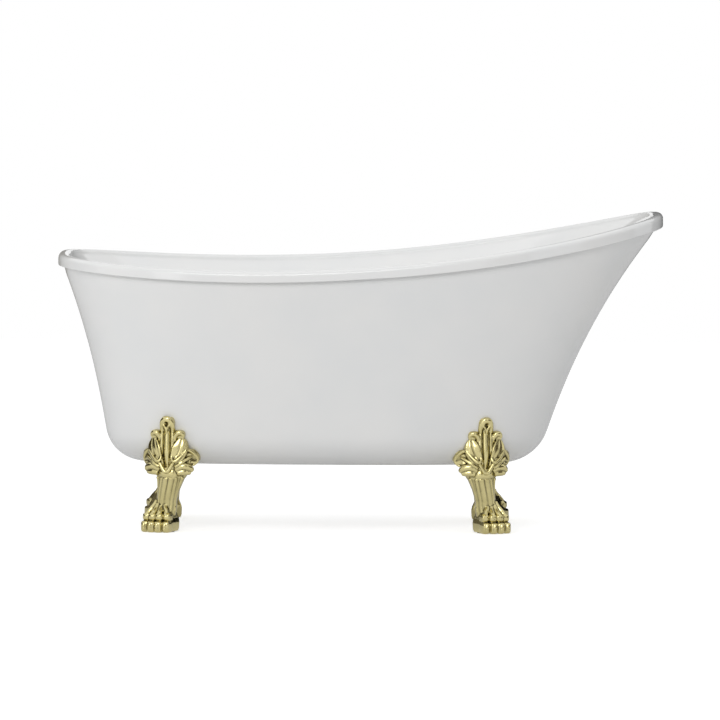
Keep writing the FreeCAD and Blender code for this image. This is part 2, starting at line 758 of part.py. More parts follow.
tee_inlet = lying_cylinder("TeeInlet", "pipe_radius + tee_inlet_wall", "tee_radius + tee_inlet_length",
                           f"-({inlet_end})", "tee_inlet_height")
tee_inlet_bore = lying_cylinder("TeeInletBore", "pipe_radius + push_fit", "tee_radius + tee_inlet_length",
                                f"-({inlet_end})", "tee_inlet_height")
tee_socket = cylinder("TeeSocket", "drain_throat_radius", f"{tee_top} - ({throat_bottom})",
                      "-drain_reach", "0", throat_bottom)
tee_bore = cylinder("TeeBore", "outlet_radius - pipe_wall", f"{tee_top} - outlet_bottom",
                    "-drain_reach", "0", "outlet_bottom")
# A pipe to the trap is pushed over this outlet from below.
tee_outlet = cylinder("TeeOutlet", "outlet_radius", f"{tee_top} - outlet_bottom",
                      "-drain_reach", "0", "outlet_bottom")
sub_part("waste_tee", cut("WasteTee", fuse("TeeBlank", tee_body, tee_inlet, tee_outlet),
                          tee_inlet_bore, tee_socket, tee_bore))

stopper_top = "stopper_bottom + stopper_seal_height"
sub_part("stopper_seal", on_drain("StopperSeal", "stopper_seal_radius", "stopper_stem_radius",
                                  "stopper_seal_height", "stopper_bottom"))
cap_disc = cylinder("StopperDisc", "stopper_radius", "stopper_height", "-drain_reach", "0", stopper_top)
cap_button = ellipsoid("StopperButton", "0.8 * stopper_radius", "0.8 * stopper_radius",
                       "1.6 * stopper_height", "-drain_reach", "0", f"{stopper_top} + stopper_height / 2")
cap_under = cylinder("StopperUnder", "2 * stopper_radius", "2 * stopper_height", "-drain_reach", "0",
                     f"{stopper_top} - 2 * stopper_height")
sub_part("stopper_cap", cut("StopperCap", fuse("StopperBlank", cap_disc, cap_button), cap_under))
sub_part("stopper_stem", cylinder("StopperStem", "stopper_stem_radius", "stopper_stem_length",
                                  "-drain_reach", "0", f"{stopper_top} - stopper_stem_length"))


# ---------------------------------------------------------------- overflow

plate_bottom = "overflow_pad_rise"
plate_top = "overflow_pad_rise + overflow_plate_height"
overflow_disc = document.addObject("Part::Cone", "OverflowDisc")
bind(overflow_disc, Radius1="overflow_plate_radius", Radius2="overflow_plate_radius - overflow_plate_height",
     Height="overflow_plate_height", Placement__Base__z=plate_bottom)
slot_radius = "0.6 * overflow_hole_radius"
overflow_slots = [
    cylinder(f"OverflowSlot{number}", "overflow_slot_radius", "3 * overflow_plate_height",
             f"{slot_radius} * cos({number} * 360deg / overflow_slots)",
             f"{slot_radius} * sin({number} * 360deg / overflow_slots)", "-overflow_plate_height")
    for number in range(int(size("overflow_slots")))]
screw_hole = cylinder("OverflowScrewHole", "overflow_screw_radius", "3 * overflow_plate_height",
                      z="-overflow_plate_height")
sub_part("overflow_plate", at_overflow(group("OverflowPlatePlaced", [
    cut("OverflowPlate", overflow_disc, screw_hole, *overflow_slots)])))

gasket_top = "-overflow_pad_depth"
gasket_bottom = "-overflow_pad_depth - overflow_gasket_height"
sub_part("overflow_gasket", at_overflow(group("OverflowGasketPlaced", [
    ring("OverflowGasket", "overflow_hole_radius + 10", "overflow_hole_radius - 4",
         "overflow_gasket_height", z=gasket_bottom)])))
screw_length = f"{plate_top} + overflow_pad_depth + overflow_gasket_height + 10"
screw = fuse("OverflowScrewBody",
             cylinder("OverflowScrewHead", "2 * overflow_screw_radius", "overflow_screw_head", z=plate_top),
             cylinder("OverflowScrewShank", "overflow_screw_radius", screw_length,
                      z=f"{plate_top} - ({screw_length})"))
sub_part("overflow_screw", at_overflow(group("OverflowScrewPlaced", [screw])))

# The pipe runs down between the shells from behind the overflow, then bends in under the floor.
axis_depth = size("overflow_pad_depth") + size("overflow_gasket_height") + size("elbow_radius")
pipe_head = overflow_place.multVec(Vector(0, 0, -axis_depth))
pipe_corner = Vector(-size("pipe_bend_reach"), 0, size("tee_inlet_height"))
pipe_foot = Vector(-size("drain_reach") - size("tee_radius") - 2, 0, size("tee_inlet_height"))
down = (pipe_corner - pipe_head).normalize()
bend_turn = down.getAngle(Vector(1, 0, 0))
bend_setback = size("pipe_bend") * math.tan(bend_turn / 2)
elbow_crown = -0.9 * size("elbow_radius")
elbow_end = elbow_crown + size("elbow_length")
pipe_start = pipe_head + down * (elbow_end - size("elbow_socket"))
bend_start = pipe_corner - down * bend_setback
bend_end = pipe_corner + Vector(bend_setback, 0, 0)
to_centre = Vector(down.z, 0, -down.x)
if to_centre.x < 0:
    to_centre = to_centre * -1
bend_centre = bend_start + to_centre * size("pipe_bend")
toward_corner = (pipe_corner - bend_centre).normalize()
bend_middle = bend_centre + toward_corner * size("pipe_bend")
pipe_route = Part.Wire([Part.LineSegment(pipe_start, bend_start).toShape(),
                        Part.Arc(bend_start, bend_middle, bend_end).toShape(),
                        Part.LineSegment(bend_end, pipe_foot).toShape()])


def along_route(radius):
    circle = Part.Wire([Part.Circle(pipe_start, down, radius).toShape()])
    return pipe_route.makePipeShell([circle], True, False)


pipe_shape = along_route(size("pipe_radius")).cut(along_route(size("pipe_radius") - size("pipe_wall")))
sub_part("overflow_pipe", solid_feature("OverflowPipe", pipe_shape))


def along_pipe(name, radius, start, length):
    """Cylinder on the upper run of the pipe, from a distance below the pipe's head."""
    rod = bind(document.addObject("Part::Cylinder", name), Radius=radius)
    rod.Height = length
    rod.Placement = Placement(pipe_head + down * start, Rotation(Vector(0, 0, 1), down))
    return rod


elbow_body = along_pipe("ElbowBody", "elbow_radius", elbow_crown, size("elbow_length"))
elbow_bore = along_pipe("ElbowBore", "pipe_radius", elbow_end - size("elbow_socket"), size("elbow_socket"))
elbow_chamber = along_pipe("ElbowChamber", "pipe_radius - pipe_wall",
                           elbow_crown + size("elbow_flange_height"), size("elbow_length"))
elbow_flange = at_overflow(group("ElbowFlangePlaced", [
    cylinder("ElbowFlange", "overflow_hole_radius + 10", "elbow_flange_height",
             z=f"{gasket_bottom} - elbow_flange_height"),
    cylinder("ElbowNeck", "0.9 * elbow_radius", "elbow_radius", z=f"{gasket_bottom} - elbow_radius")]))
elbow_mouth = at_overflow(group("ElbowMouthPlaced", [
    ring("ElbowMouth", "0.75 * elbow_radius", "2 * overflow_screw_radius", "elbow_radius",
         z=f"{gasket_bottom} - elbow_radius")]))
elbow_thread = at_overflow(group("ElbowThreadPlaced", [
    cylinder("ElbowThread", "overflow_screw_radius", "2 * elbow_radius",
             z=f"{gasket_bottom} - elbow_radius")]))
sub_part("overflow_elbow", cut("OverflowElbow", fuse("ElbowBlank", elbow_body, elbow_flange),
                               elbow_bore, elbow_chamber, elbow_mouth, elbow_thread))

upper_nut = cut("UpperPipeNut",
                along_pipe("UpperPipeNutBody", "elbow_radius + 1", elbow_end, size("slip_nut_height")),
                along_pipe("UpperPipeNutBore", "pipe_radius", elbow_end, size("slip_nut_height")))
lower_nut_x = f"-({inlet_end}) - slip_nut_height"
lower_nut = cut("LowerPipeNut",
                lying_cylinder("LowerPipeNutBody", "slip_nut_radius", "slip_nut_height", lower_nut_x,
                               "tee_inlet_height"),
                lying_cylinder("LowerPipeNutBore", "pipe_radius", "slip_nut_height", lower_nut_x,
                               "tee_inlet_height"))
sub_part("overflow_pipe_nuts", group("OverflowPipeNuts", [upper_nut, lower_nut]))


# ---------------------------------------------------------------- check and write

document.recompute()
for thing in document.Objects:
    if "Invalid" in thing.State or "Error" in thing.State:
        raise RuntimeError(f"{thing.Name} failed to build: {thing.State}")
for thing in sub_parts:
    if thing.Shape.isNull() or not thing.Shape.isValid():
        raise RuntimeError(f"{thing.Label} has no valid shape")

os.makedirs("parts", exist_ok=True)
for thing in sub_parts:
    thing.Shape.exportStep(f"parts/{thing.Label}.step")
    bounds = thing.Shape.BoundBox
    print(f"{thing.Label:26s} solids {len(thing.Shape.Solids)}  volume {thing.Shape.Volume / 1000:9.1f} cm3  "
          f"x {bounds.XMin:7.1f} {bounds.XMax:7.1f}  y {bounds.YMin:7.1f} {bounds.YMax:7.1f}  "
          f"z {bounds.ZMin:6.1f} {bounds.ZMax:6.1f}")
print(len(sub_parts), "sub-parts")
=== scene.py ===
import json
import math
from functools import lru_cache

import bmesh
import bpy
from mathutils import Matrix, Vector


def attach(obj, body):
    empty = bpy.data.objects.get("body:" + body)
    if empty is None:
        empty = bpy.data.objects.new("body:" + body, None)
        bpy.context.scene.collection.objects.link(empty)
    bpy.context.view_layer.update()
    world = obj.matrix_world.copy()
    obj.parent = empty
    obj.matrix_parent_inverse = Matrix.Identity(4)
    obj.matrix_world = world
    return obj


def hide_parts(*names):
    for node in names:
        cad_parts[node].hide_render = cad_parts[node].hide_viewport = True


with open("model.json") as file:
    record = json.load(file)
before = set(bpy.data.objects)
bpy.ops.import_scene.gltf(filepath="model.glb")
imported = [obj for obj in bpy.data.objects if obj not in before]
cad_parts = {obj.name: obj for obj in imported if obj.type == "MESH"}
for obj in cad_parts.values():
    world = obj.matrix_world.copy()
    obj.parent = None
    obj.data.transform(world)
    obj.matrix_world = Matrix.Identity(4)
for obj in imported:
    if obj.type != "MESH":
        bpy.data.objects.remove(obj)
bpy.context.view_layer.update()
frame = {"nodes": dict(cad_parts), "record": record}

# Slipper bathtub of white acrylic on four polished claw feet.
# The tub's own sizes are in millimetres, and meshes are turned to metres when a piece is finished.

mm = 0.001


# small helpers for every piece

def linearColour(hexCode):
    channels = [int(hexCode[start:start + 2], 16) / 255 for start in (1, 3, 5)]
    return [c / 12.92 if c <= 0.04045 else ((c + 0.055) / 1.055) ** 2.4 for c in channels] + [1]


def addNode(tree, kind, inputs=None, **settings):
    node = tree.nodes.new(kind)
    for name, value in settings.items():
        setattr(node, name, value)
    for socket, value in (inputs or {}).items():
        if isinstance(value, bpy.types.NodeSocket):
            tree.links.new(value, node.inputs[socket])
        else:
            node.inputs[socket].default_value = value
    return node


def newMaterial(name):
    material = bpy.data.materials.new(name)
    material.use_nodes = True
    return material, material.node_tree, material.node_tree.nodes["Principled BSDF"]


def setRamp(ramp, stops):
    elements = ramp.color_ramp.elements
    while len(elements) < len(stops):
        elements.new(0.5)
    for element, (position, hexCode) in zip(elements, stops):
        element.position = position
        element.color = linearColour(hexCode)


def smoothShade(mesh, sharpAngle):
    for polygon in mesh.polygons:
        polygon.use_smooth = True
    mesh.set_sharp_from_angle(angle=math.radians(sharpAngle))


def meshObject(name, bm):
    mesh = bpy.data.meshes.new(name)
    bm.to_mesh(mesh)
    bm.free()
    thing = bpy.data.objects.new(name, mesh)
    bpy.context.scene.collection.objects.link(thing)
    return thing


def bakeModifiers(thing):
    bpy.context.view_layer.update()
    evaluated = thing.evaluated_get(bpy.context.evaluated_depsgraph_get())
    baked = bpy.data.meshes.new_from_object(evaluated)
    thing.modifiers.clear()
    thing.data = baked
    return thing


def combine(thing, other, operation):
    boolean = thing.modifiers.new("boolean", "BOOLEAN")
    boolean.operation = operation
    boolean.solver = "EXACT"
    boolean.object = other
    bakeModifiers(thing)
    bpy.data.objects.remove(other)
    return thing


def finishPiece(thing, body, material, nodes=(), sharpAngle=35):
    thing.data.materials.clear()
    thing.data.materials.append(material)
    smoothShade(thing.data, sharpAngle)
    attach(thing, body)
    if nodes:
        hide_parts(*nodes)
    return thing


def toMetres(bm):
    bmesh.ops.scale(bm, vec=(mm, mm, mm), verts=bm.verts)


# outline of the tub, the same flare and fullness as the frame's shells

tub = {
    "halfLength": 736,          # to the skirt's face, under the rim
    "tapRim": 643,
    "headRim": 749,
    "lowRim": 622,
    "bottom": 165,
    "bottomTapReach": 617,
    "bottomHeadReach": 441,
    "bottomHalfBreadth": 258,
    "rimHalfBreadth": 358,
    "tapFullness": 3.3,
    "headFullness": 2.8,
    "endSteadiness": 0.62,
    "sideSteadiness": 0.75,
    "flarePower": 2.5,
    "wall": 6,
    "rimCrown": 6,              # how much fuller than a parabola the rim's curve is
    "crownLean": 0.35,
    "lipRepeats": 25,           # tries that settle the rim's height against its own outline
    "rimDepth": 34,
    "rimOverhang": 14,
    "rimInboard": 34,
    "rimFlare": 20,             # how far the wall's head flares out to the roll
    "flareStart": 0.86,
    "outerRound": 11,
    "innerRound": 16,
    "rollRound": 12,
    "lipRise": 7,
    "lipDroop": 0.6,            # the rim's lower lip hangs lower towards the head
    "lipRound": 1.6,
    "skirtCorner": 75,
    "floorTop": 225,
    "floorCorner": 55,
    "wallGap": 84,
    "slotTapReach": 555,
    "slotHeadReach": 240,
    "slotBreadth": 72,
    "slotCut": (-10, 20),
    "drainReach": 400,
    "drainHole": 22.1,
    "drainDrill": 40,
    "overflowHeight": 572,
    "overflowHole": 22,
    "overflowDrill": 60,
    "overflowPad": 40,
    "overflowPadRise": 2.8,
    "overflowPadSink": 8,
    "undersideShrinks": (230, 180, 130),
    "floorShrinks": (215, 190, 160),
    "cornerStep": 10,           # degrees between the rings of a rounded corner
    "lowLevels": (270, 300, 330, 360, 390),
    "highStart": 420,           # from here up the rings follow the rim's curve
    "highRings": 7,
    "skirtHead": 24,            # top of the skirt, inside the rolled rim
    "wallShares": (0.08, 0.16, 0.26, 0.36, 0.46, 0.56, 0.66, 0.75, 0.81, 0.86, 0.9, 0.93, 0.96, 0.985),
    "segments": 144,
    "slotSegments": 160,
    "barSides": 72,
}

# the feet's axes: x, y, how far the front is turned from -Y, and which way round the casting is
corners = {
    "tap_near": (-471, -205, -16, 1),
    "tap_far": (-471, 205, 196, -1),
    "head_near": (308, -188, 16, -1),
    "head_far": (308, 188, 164, 1),
}


def swell(level, rimLevel, atBottom, atRim, steadiness):
    # steadiness is the straight part of the flare, and the rest grows by the power of the height
    power, share = tub["flarePower"], (level - tub["bottom"]) / (rimLevel - tub["bottom"])
    if share > 1:
        return atRim + (atRim - atBottom) * (steadiness + (1 - steadiness) * power) * (share - 1)
    share = max(share, 0)
    return atBottom + (atRim - atBottom) * (steadiness * share + (1 - steadiness) * share ** power)


def middleAt(level):
    bottomMiddle = (tub["bottomHeadReach"] - tub["bottomTapReach"]) / 2
    return bottomMiddle * (1 - (level - tub["bottom"]) / (tub["lowRim"] - tub["bottom"]))


def outline(turn, level, shrink=0):
    middle = middleAt(level)
    breadth = swell(level, tub["lowRim"], tub["bottomHalfBreadth"], tub["rimHalfBreadth"],
                    tub["sideSteadiness"]) - shrink
    if math.cos(turn) > 0:
        reach = swell(level, tub["headRim"], tub["bottomHeadReach"], tub["halfLength"],
                      tub["endSteadiness"]) - middle - shrink
        fullness = tub["headFullness"]
    else:
        reach = swell(level, tub["tapRim"], tub["bottomTapReach"], tub["halfLength"],
                      tub["endSteadiness"]) + middle - shrink
        fullness = tub["tapFullness"]
    across = abs(math.cos(turn) / reach) ** fullness + abs(math.sin(turn) / breadth) ** fullness
    distance = across ** (-1 / fullness)
    return Vector((middle + distance * math.cos(turn), distance * math.sin(turn), level))


def offsetPoint(turn, level, out, height, shrink=0):
    step = 0.01
    along = outline(turn + step, level, shrink) - outline(turn - step, level, shrink)
    outward = Vector((along.y, -along.x, 0)).normalized()
    point = outline(turn, level, shrink) + outward * out
    point.z = height
    return point


@lru_cache(maxsize=None)
def lipLevel(turn):
    tilt = (tub["headRim"] - tub["tapRim"]) / 2
    rise = (tub["headRim"] + tub["tapRim"]) / 2 - tub["lowRim"]
    level = tub["lowRim"]
    for repeat in range(tub["lipRepeats"]):
        along = outline(turn, level).x / tub["halfLength"]
        crown = tub["rimCrown"] * (1 - along ** 2) * (1 - tub["crownLean"] * along)
        level = tub["lowRim"] + tilt * along + rise * along ** 2 + crown
    return level


# rings drawn out one after another, each vertex keeping the direction that it lies in

def drawRings(bm, count, rings):
    turnLayer = bm.verts.layers.float.get("turn") or bm.verts.layers.float.new("turn")
    verts = bmesh.ops.create_circle(bm, segments=count, radius=1)["verts"]
    for vert in verts:
        vert[turnLayer] = math.atan2(vert.co.y, vert.co.x)
    edges = first = list({edge for vert in verts for edge in vert.link_edges})
    for number, pointAt in enumerate(rings):
        if number:
            drawn = bmesh.ops.extrude_edge_only(bm, edges=edges)["geom"]
            verts = [item for item in drawn if isinstance(item, bmesh.types.BMVert)]
            edges = [item for item in drawn if isinstance(item, bmesh.types.BMEdge)]
        for vert in verts:
            vert.co = pointAt(vert[turnLayer])
    bmesh.ops.holes_fill(bm, edges=first, sides=0)
    bmesh.ops.holes_fill(bm, edges=edges, sides=0)


def levelRing(level, out=0, shrink=0):
    return lambda turn: offsetPoint(turn, level, out, level, shrink)


def rimRing(out, rise):
    return lambda turn: offsetPoint(turn, lipLevel(turn), out, lipLevel(turn) + rise)


def lipRing(out, rise):
    return lambda turn: offsetPoint(turn, lipLevel(turn), out, lipLevel(turn) + rise + tub["lipRise"] * (
        1 - tub["lipDroop"] * max(math.cos(turn), 0)))


def roundRings(out, rise, radius, start, end, steps):
    turns = [math.radians(start + (end - start) * step / steps) for step in range(steps + 1)]
    return [rimRing(out + radius * math.cos(turn), rise + radius * math.sin(turn)) for turn in turns]


# outer skirt: wall, rounded bottom edge and the flange turned in under the tub

def skirtRings(inward):
    corner, bottom = tub["skirtCorner"], tub["bottom"]
    rings = []
    for degrees in range(0, 91, tub["cornerStep"]):
        turn = math.radians(degrees)
        level = bottom + corner - (corner - inward) * math.cos(turn)
        rings.append(levelRing(level, -inward, (corner - inward) * (1 - math.sin(turn))))
    start, count = tub["highStart"], tub["highRings"]
    rings += [levelRing(level, -inward) for level in (*tub["lowLevels"], start)]
    for step in range(1, count + 1):
        rings.append(lambda turn, share=step / count: offsetPoint(
            turn, start + (lipLevel(turn) - start) * share, -inward,
            start + (lipLevel(turn) - start) * share))
    rings.append(rimRing(-inward, tub["skirtHead"]))
    return rings


def makeSkirt():
    bm = bmesh.new()
    bottom, wall, corner = tub["bottom"], tub["wall"], tub["skirtCorner"]
    shrinks = (*tub["undersideShrinks"], corner + wall)
    underside = [levelRing(bottom, 0, shrink) for shrink in shrinks]
    topSide = [levelRing(bottom + wall, -wall, shrink - wall) for shrink in shrinks]
    drawRings(bm, tub["segments"], underside + skirtRings(0) + skirtRings(wall)[::-1] + topSide[::-1])
    bmesh.ops.recalc_face_normals(bm, faces=bm.faces)
    toMetres(bm)
    skirt = meshObject("skirt", bm)
    subdivision = skirt.modifiers.new("subdivision", "SUBSURF")
    subdivision.levels = subdivision.render_levels = 1
    return combine(bakeModifiers(skirt), skirtCutter(), "DIFFERENCE")


def slotRing(level):
    # stadium-shaped slot, by the direction from its middle
    radius = tub["slotBreadth"] / 2
    straight = (tub["slotTapReach"] + tub["slotHeadReach"]) / 2 - radius
    middle = (tub["slotHeadReach"] - tub["slotTapReach"]) / 2

    def pointAt(turn):
        along, across = abs(math.cos(turn)), max(abs(math.sin(turn)), 0.000001)
        reach = radius / across
        if reach * along > straight:
            reach = straight * along + math.sqrt(max(radius ** 2 - (straight * across) ** 2, 0))
        return Vector((middle + reach * math.cos(turn), reach * math.sin(turn), level))
    return pointAt


def skirtCutter():
    # access slot under the tub and the holes for the bolts of the feet
    bm = bmesh.new()
    bottom = tub["bottom"]
    drawRings(bm, tub["slotSegments"], [slotRing(bottom + rise) for rise in tub["slotCut"]])
    for x, y, turn, hand in corners.values():
        place = Matrix.Translation((x, y, 0)) @ Matrix.Rotation(math.radians(turn), 4, "Z")
        for side in (-1, 1):
            hole = place @ Vector((side * foot["boltPitch"] / 2, foot["boltReach"], bottom))
            bmesh.ops.create_cone(bm, cap_ends=True, segments=24, radius1=foot["boltHole"],
                                  radius2=foot["boltHole"], depth=foot["boltDrill"],
                                  matrix=Matrix.Translation(hole))
    bmesh.ops.recalc_face_normals(bm, faces=bm.faces)
    toMetres(bm)
    return meshObject("skirt_cutter", bm)


# basin: floor, wall, rolled rim and the sheet's hidden side

def basinCornerRings(thickness):
    corner, inset = tub["floorCorner"], tub["wallGap"] - tub["rimInboard"]
    rings = []
    for degrees in range(0, 91, tub["cornerStep"]):
        turn = math.radians(degrees)
        level = tub["floorTop"] + corner - (corner + thickness) * math.cos(turn)
        shrink = inset + (corner + thickness) * (1 - math.sin(turn))
        rings.append(levelRing(level, thickness - tub["rimInboard"], shrink))
    return rings


def basinWallPoint(turn, share, thickness):
    foot, lip = tub["floorTop"] + tub["floorCorner"], lipLevel(turn)
    rise = tub["rimDepth"] - tub["innerRound"]
    shrink = (tub["wallGap"] - tub["rimInboard"]) * (1 - share) ** 0.5
    bend = max((share - tub["flareStart"]) / (1 - tub["flareStart"]), 0)
    flare = tub["rimFlare"] * bend ** 2 * (3 - 2 * bend)
    return offsetPoint(turn, foot + (lip - foot) * share, thickness + flare - tub["rimInboard"],
                       foot + (lip + rise - foot) * share, shrink)


def basinWallRings(thickness):
    return [lambda turn, share=share: basinWallPoint(turn, share, thickness) for share in tub["wallShares"]]


def overflowPlace():
    # on the tap end wall, Z square to the wall and into the basin
    foot, lip = tub["floorTop"] + tub["floorCorner"], lipLevel(math.pi)
    share = (tub["overflowHeight"] - foot) / (lip + tub["rimDepth"] - tub["innerRound"] - foot)
    wallLine = basinWallPoint(math.pi, share + 0.05, 0) - basinWallPoint(math.pi, share - 0.05, 0)
    facing = Vector((wallLine.z, 0, -wallLine.x))
    aim = facing.to_track_quat("Z", "Y").to_matrix().to_4x4()
    return Matrix.Translation(basinWallPoint(math.pi, share, 0)) @ aim


def roundBar(name, radius, length, place):
    bm = bmesh.new()
    bmesh.ops.create_cone(bm, cap_ends=True, segments=tub["barSides"], radius1=radius, radius2=radius,
                          depth=length, matrix=place)
    toMetres(bm)
    return meshObject(name, bm)


def makeBasin():
    bm = bmesh.new()
    wall, depth, lip, roll = tub["wall"], tub["rimDepth"], tub["lipRound"], tub["rollRound"]
    innerCentre = roll + tub["rimFlare"] - tub["rimInboard"]
    overhang = tub["rimOverhang"]
    outerCentre = overhang - tub["outerRound"]
    top, floorShrinks = tub["floorTop"], tub["floorShrinks"]
    rings = [levelRing(top, -tub["rimInboard"], shrink) for shrink in floorShrinks]
    rings += basinCornerRings(0) + basinWallRings(0)
    rings += roundRings(innerCentre, depth - roll, roll, 180, 90, 7)
    rings += roundRings(outerCentre, depth - tub["outerRound"], tub["outerRound"], 90, 0, 6)
    rings += [lipRing(overhang, lip * 4), lipRing(overhang, lip), lipRing(overhang - 0.3 * lip, 0.3 * lip),
              lipRing(overhang - lip, 0), lipRing(overhang - wall + lip, 0), lipRing(overhang - wall, lip)]
    rings += roundRings(outerCentre, depth - tub["outerRound"], tub["outerRound"] - wall, 0, 90, 4)
    rings += roundRings(innerCentre, depth - roll, roll - wall, 90, 180, 4)
    rings += basinWallRings(wall)[::-1] + basinCornerRings(wall)[::-1]
    rings += [levelRing(top - wall, -tub["rimInboard"], shrink) for shrink in floorShrinks[::-1]]
    drawRings(bm, tub["segments"], rings)
    bmesh.ops.recalc_face_normals(bm, faces=bm.faces)
    toMetres(bm)
    basin = meshObject("basin_shell", bm)
    subdivision = basin.modifiers.new("subdivision", "SUBSURF")
    subdivision.levels = subdivision.render_levels = 1
    bakeModifiers(basin)
    # flat seat for the overflow, then its hole and the drain's
    rise, sink = tub["overflowPadRise"], tub["overflowPadSink"]
    seat = roundBar("overflow_seat", tub["overflowPad"], rise + sink,
                    overflowPlace() @ Matrix.Translation((0, 0, (rise - sink) / 2)))
    combine(basin, seat, "UNION")
    overflow = roundBar("overflow_drill", tub["overflowHole"], tub["overflowDrill"], overflowPlace())
    combine(basin, overflow, "DIFFERENCE")
    place = Matrix.Translation((-tub["drainReach"], 0, tub["floorTop"]))
    drain = roundBar("drain_drill", tub["drainHole"], tub["drainDrill"], place)
    return combine(basin, drain, "DIFFERENCE")


# claw feet: modelled once about the foot's own axis, front towards -Y, in millimetres

foot = {
    "voxel": 1.3,
    "leafShift": 10,            # leaf and paw lie to either side of the foot's axis
    "pawShift": -11,
    "pawTurn": -8,
    "smoothing": 3,
    "recessSmoothing": 24,
    # painted shade and patina: the depth of hollow that gets the full dark colour
    "recessDepth": 0.55,        # a hollow as deep as this is fully dark
    "recessRadius": 21,
    "recessHeight": 18,
    "studBore": 5,
    "studBoreHeight": 72,
    "setBack": 8,
    "boltHole": 5.5,
    "boltReach": 89,
    "boltPitch": 44,
    "boltMiddle": 160,
    "boltDrill": 40,
    "lugBreadth": 72,
    "lugLength": 108,
    "lugThickness": 8,
    "lugMiddle": 161,
    "lugRound": 18,
    "sheetAcross": 26,
    "sheetAlong": 34,
    "tubeSides": 12,
    "legCrispness": 16,         # the higher, the sharper a section's corners
    "blockCrispness": 10,
    "toePlaces": (-28.2, -9.4, 9.4, 28.2),
    "skirtGap": 0.15,
    "fitRepeats": 3,
    "leastSquare": 0.3,
}


def curvePoint(points, share):
    # smooth curve through given points, whose fourth value is a radius or half width
    span = share * (len(points) - 1)
    first = min(int(span), len(points) - 2)
    t = span - first
    near = [points[min(max(first + step, 0), len(points) - 1)] for step in (-1, 0, 1, 2)]
    values = [0.5 * (2 * b + (c - a) * t + (2 * a - 5 * b + 4 * c - d) * t ** 2
                     + (3 * b - a - 3 * c + d) * t ** 3) for a, b, c, d in zip(*near)]
    return Vector(values[:3]), max(values[3], 0.2)


def addSheet(bm, points, relief, thickness, facing=(0, -1, 0)):
    # a leaf blade: a grid laid along a curve, raised and sunk by its relief, then made thick backwards
    grid = bmesh.ops.create_grid(bm, x_segments=foot["sheetAcross"], y_segments=foot["sheetAlong"], size=1)
    verts = grid["verts"]
    faces = list({face for vert in verts for face in vert.link_faces})
    for vert in verts:
        across, along = vert.co.x, (vert.co.y + 1) / 2
        here, halfWidth = curvePoint(points, along)
        before, after = (curvePoint(points, min(max(along + step, 0), 1))[0] for step in (-0.01, 0.01))
        ahead = (after - before).normalized()
        side = ahead.cross(Vector(facing)).normalized()
        raised = relief(across, along, across * halfWidth)
        vert.co = here + side * across * halfWidth + side.cross(ahead) * raised
    drawn = bmesh.ops.extrude_face_region(bm, geom=faces, use_keep_orig=True)["geom"]
    back = [item for item in drawn if isinstance(item, bmesh.types.BMVert)]
    bmesh.ops.translate(bm, verts=back, vec=(0, thickness, 0))


def addTube(bm, points, steps=5):
    # a round rib along listed points, each with its radius
    count = steps * (len(points) - 1)
    rings = []
    for number in range(count + 1):
        place, radius = curvePoint(points, number / count)
        before, after = (curvePoint(points, min(max(number + step, 0), count) / count)[0]
                         for step in (-1, 1))
        aim = (after - before).to_track_quat("Z", "Y")
        rings.append(lambda turn, place=place, radius=radius, aim=aim: place + aim @ Vector(
            (math.cos(turn) * radius, math.sin(turn) * radius, 0)))
    drawRings(bm, foot["tubeSides"], rings)


def addBall(bm, centre, radii, squareness=1.0):
    ball = bmesh.ops.create_uvsphere(bm, u_segments=20, v_segments=14, radius=1)
    for vert in ball["verts"]:
        vert.co = Vector(centre) + Vector([
            math.copysign(abs(part) ** squareness, part) * radius for part, radius in zip(vert.co, radii)])


def facetRing(centre, level, planes, crispness):
    # section of a casting with flat faces: planes are (angle, distance) pairs, met with a small round
    def pointAt(turn):
        heading = Vector((math.cos(turn), math.sin(turn)))
        reach = 0
        for angle, distance in planes:
            toward = heading.dot(Vector((math.cos(math.radians(angle)), math.sin(math.radians(angle)))))
            if toward > 0:
                reach += (toward / distance) ** crispness
        return Vector((centre[0], centre[1], level)) + Vector((*heading, 0)) * reach ** (-1 / crispness)
    return pointAt


def legRing(level, middle, halfWidth, halfPanel, front, back):
    # flat front panel, slanted faces beside it, flat sides
    depth = (front + back) / 2
    centre = (middle, (back - front) / 2)
    slant = math.radians(45)
    corner = halfPanel * math.cos(slant) + depth * math.sin(slant)
    planes = [(-90, depth), (90, depth), (0, halfWidth), (180, halfWidth), (-45, corner), (-135, corner),
              (45, corner), (135, corner)]
    return facetRing(centre, level, planes, foot["legCrispness"])


def blockRing(level, middle, halfWidth, front, back):
    centre = (middle, (back - front) / 2)
    depth = (front + back) / 2
    planes = [(-90, depth), (90, depth), (0, halfWidth), (180, halfWidth)]
    return facetRing(centre, level, planes, foot["blockCrispness"])


def addLeg(bm):
    # each row: level, middle, half width, half width of the front panel, reach to the front and back
    rows = ((40, -8, 29, 12, 34, 16), (52, -5, 28, 11, 33, 16), (66, -1.7, 25.4, 10, 32, 15),
            (81, 0, 24.4, 10, 34, 14), (106, 5.5, 27, 11, 39, 14), (131, 12, 32.5, 12, 46, 16),
            (137, 13, 36.5, 13, 48, 18), (143, 12, 41, 14, 50, 22), (150, 11, 45, 15, 50, 26),
            (162, 10, 40, 16, 46, 30))
    drawRings(bm, 64, [legRing(*row) for row in rows])
    for side in (-1, 1):
        # broad reeds on the front panel and at the corners beside it
        addTube(bm, [(middle + side * panel * 0.55, 4.6 - front, level, panel * 0.58)
                     for level, middle, halfWidth, panel, front, back in rows[1:7]])
        addTube(bm, [(middle + side * (panel + 5.2), 8.6 - front, level, 5)
                     for level, middle, halfWidth, panel, front, back in rows[1:7]])
        addTube(bm, [(middle + side * (halfWidth - 3), 19 - front, level, 4.4)
                     for level, middle, halfWidth, panel, front, back in rows[1:7]])


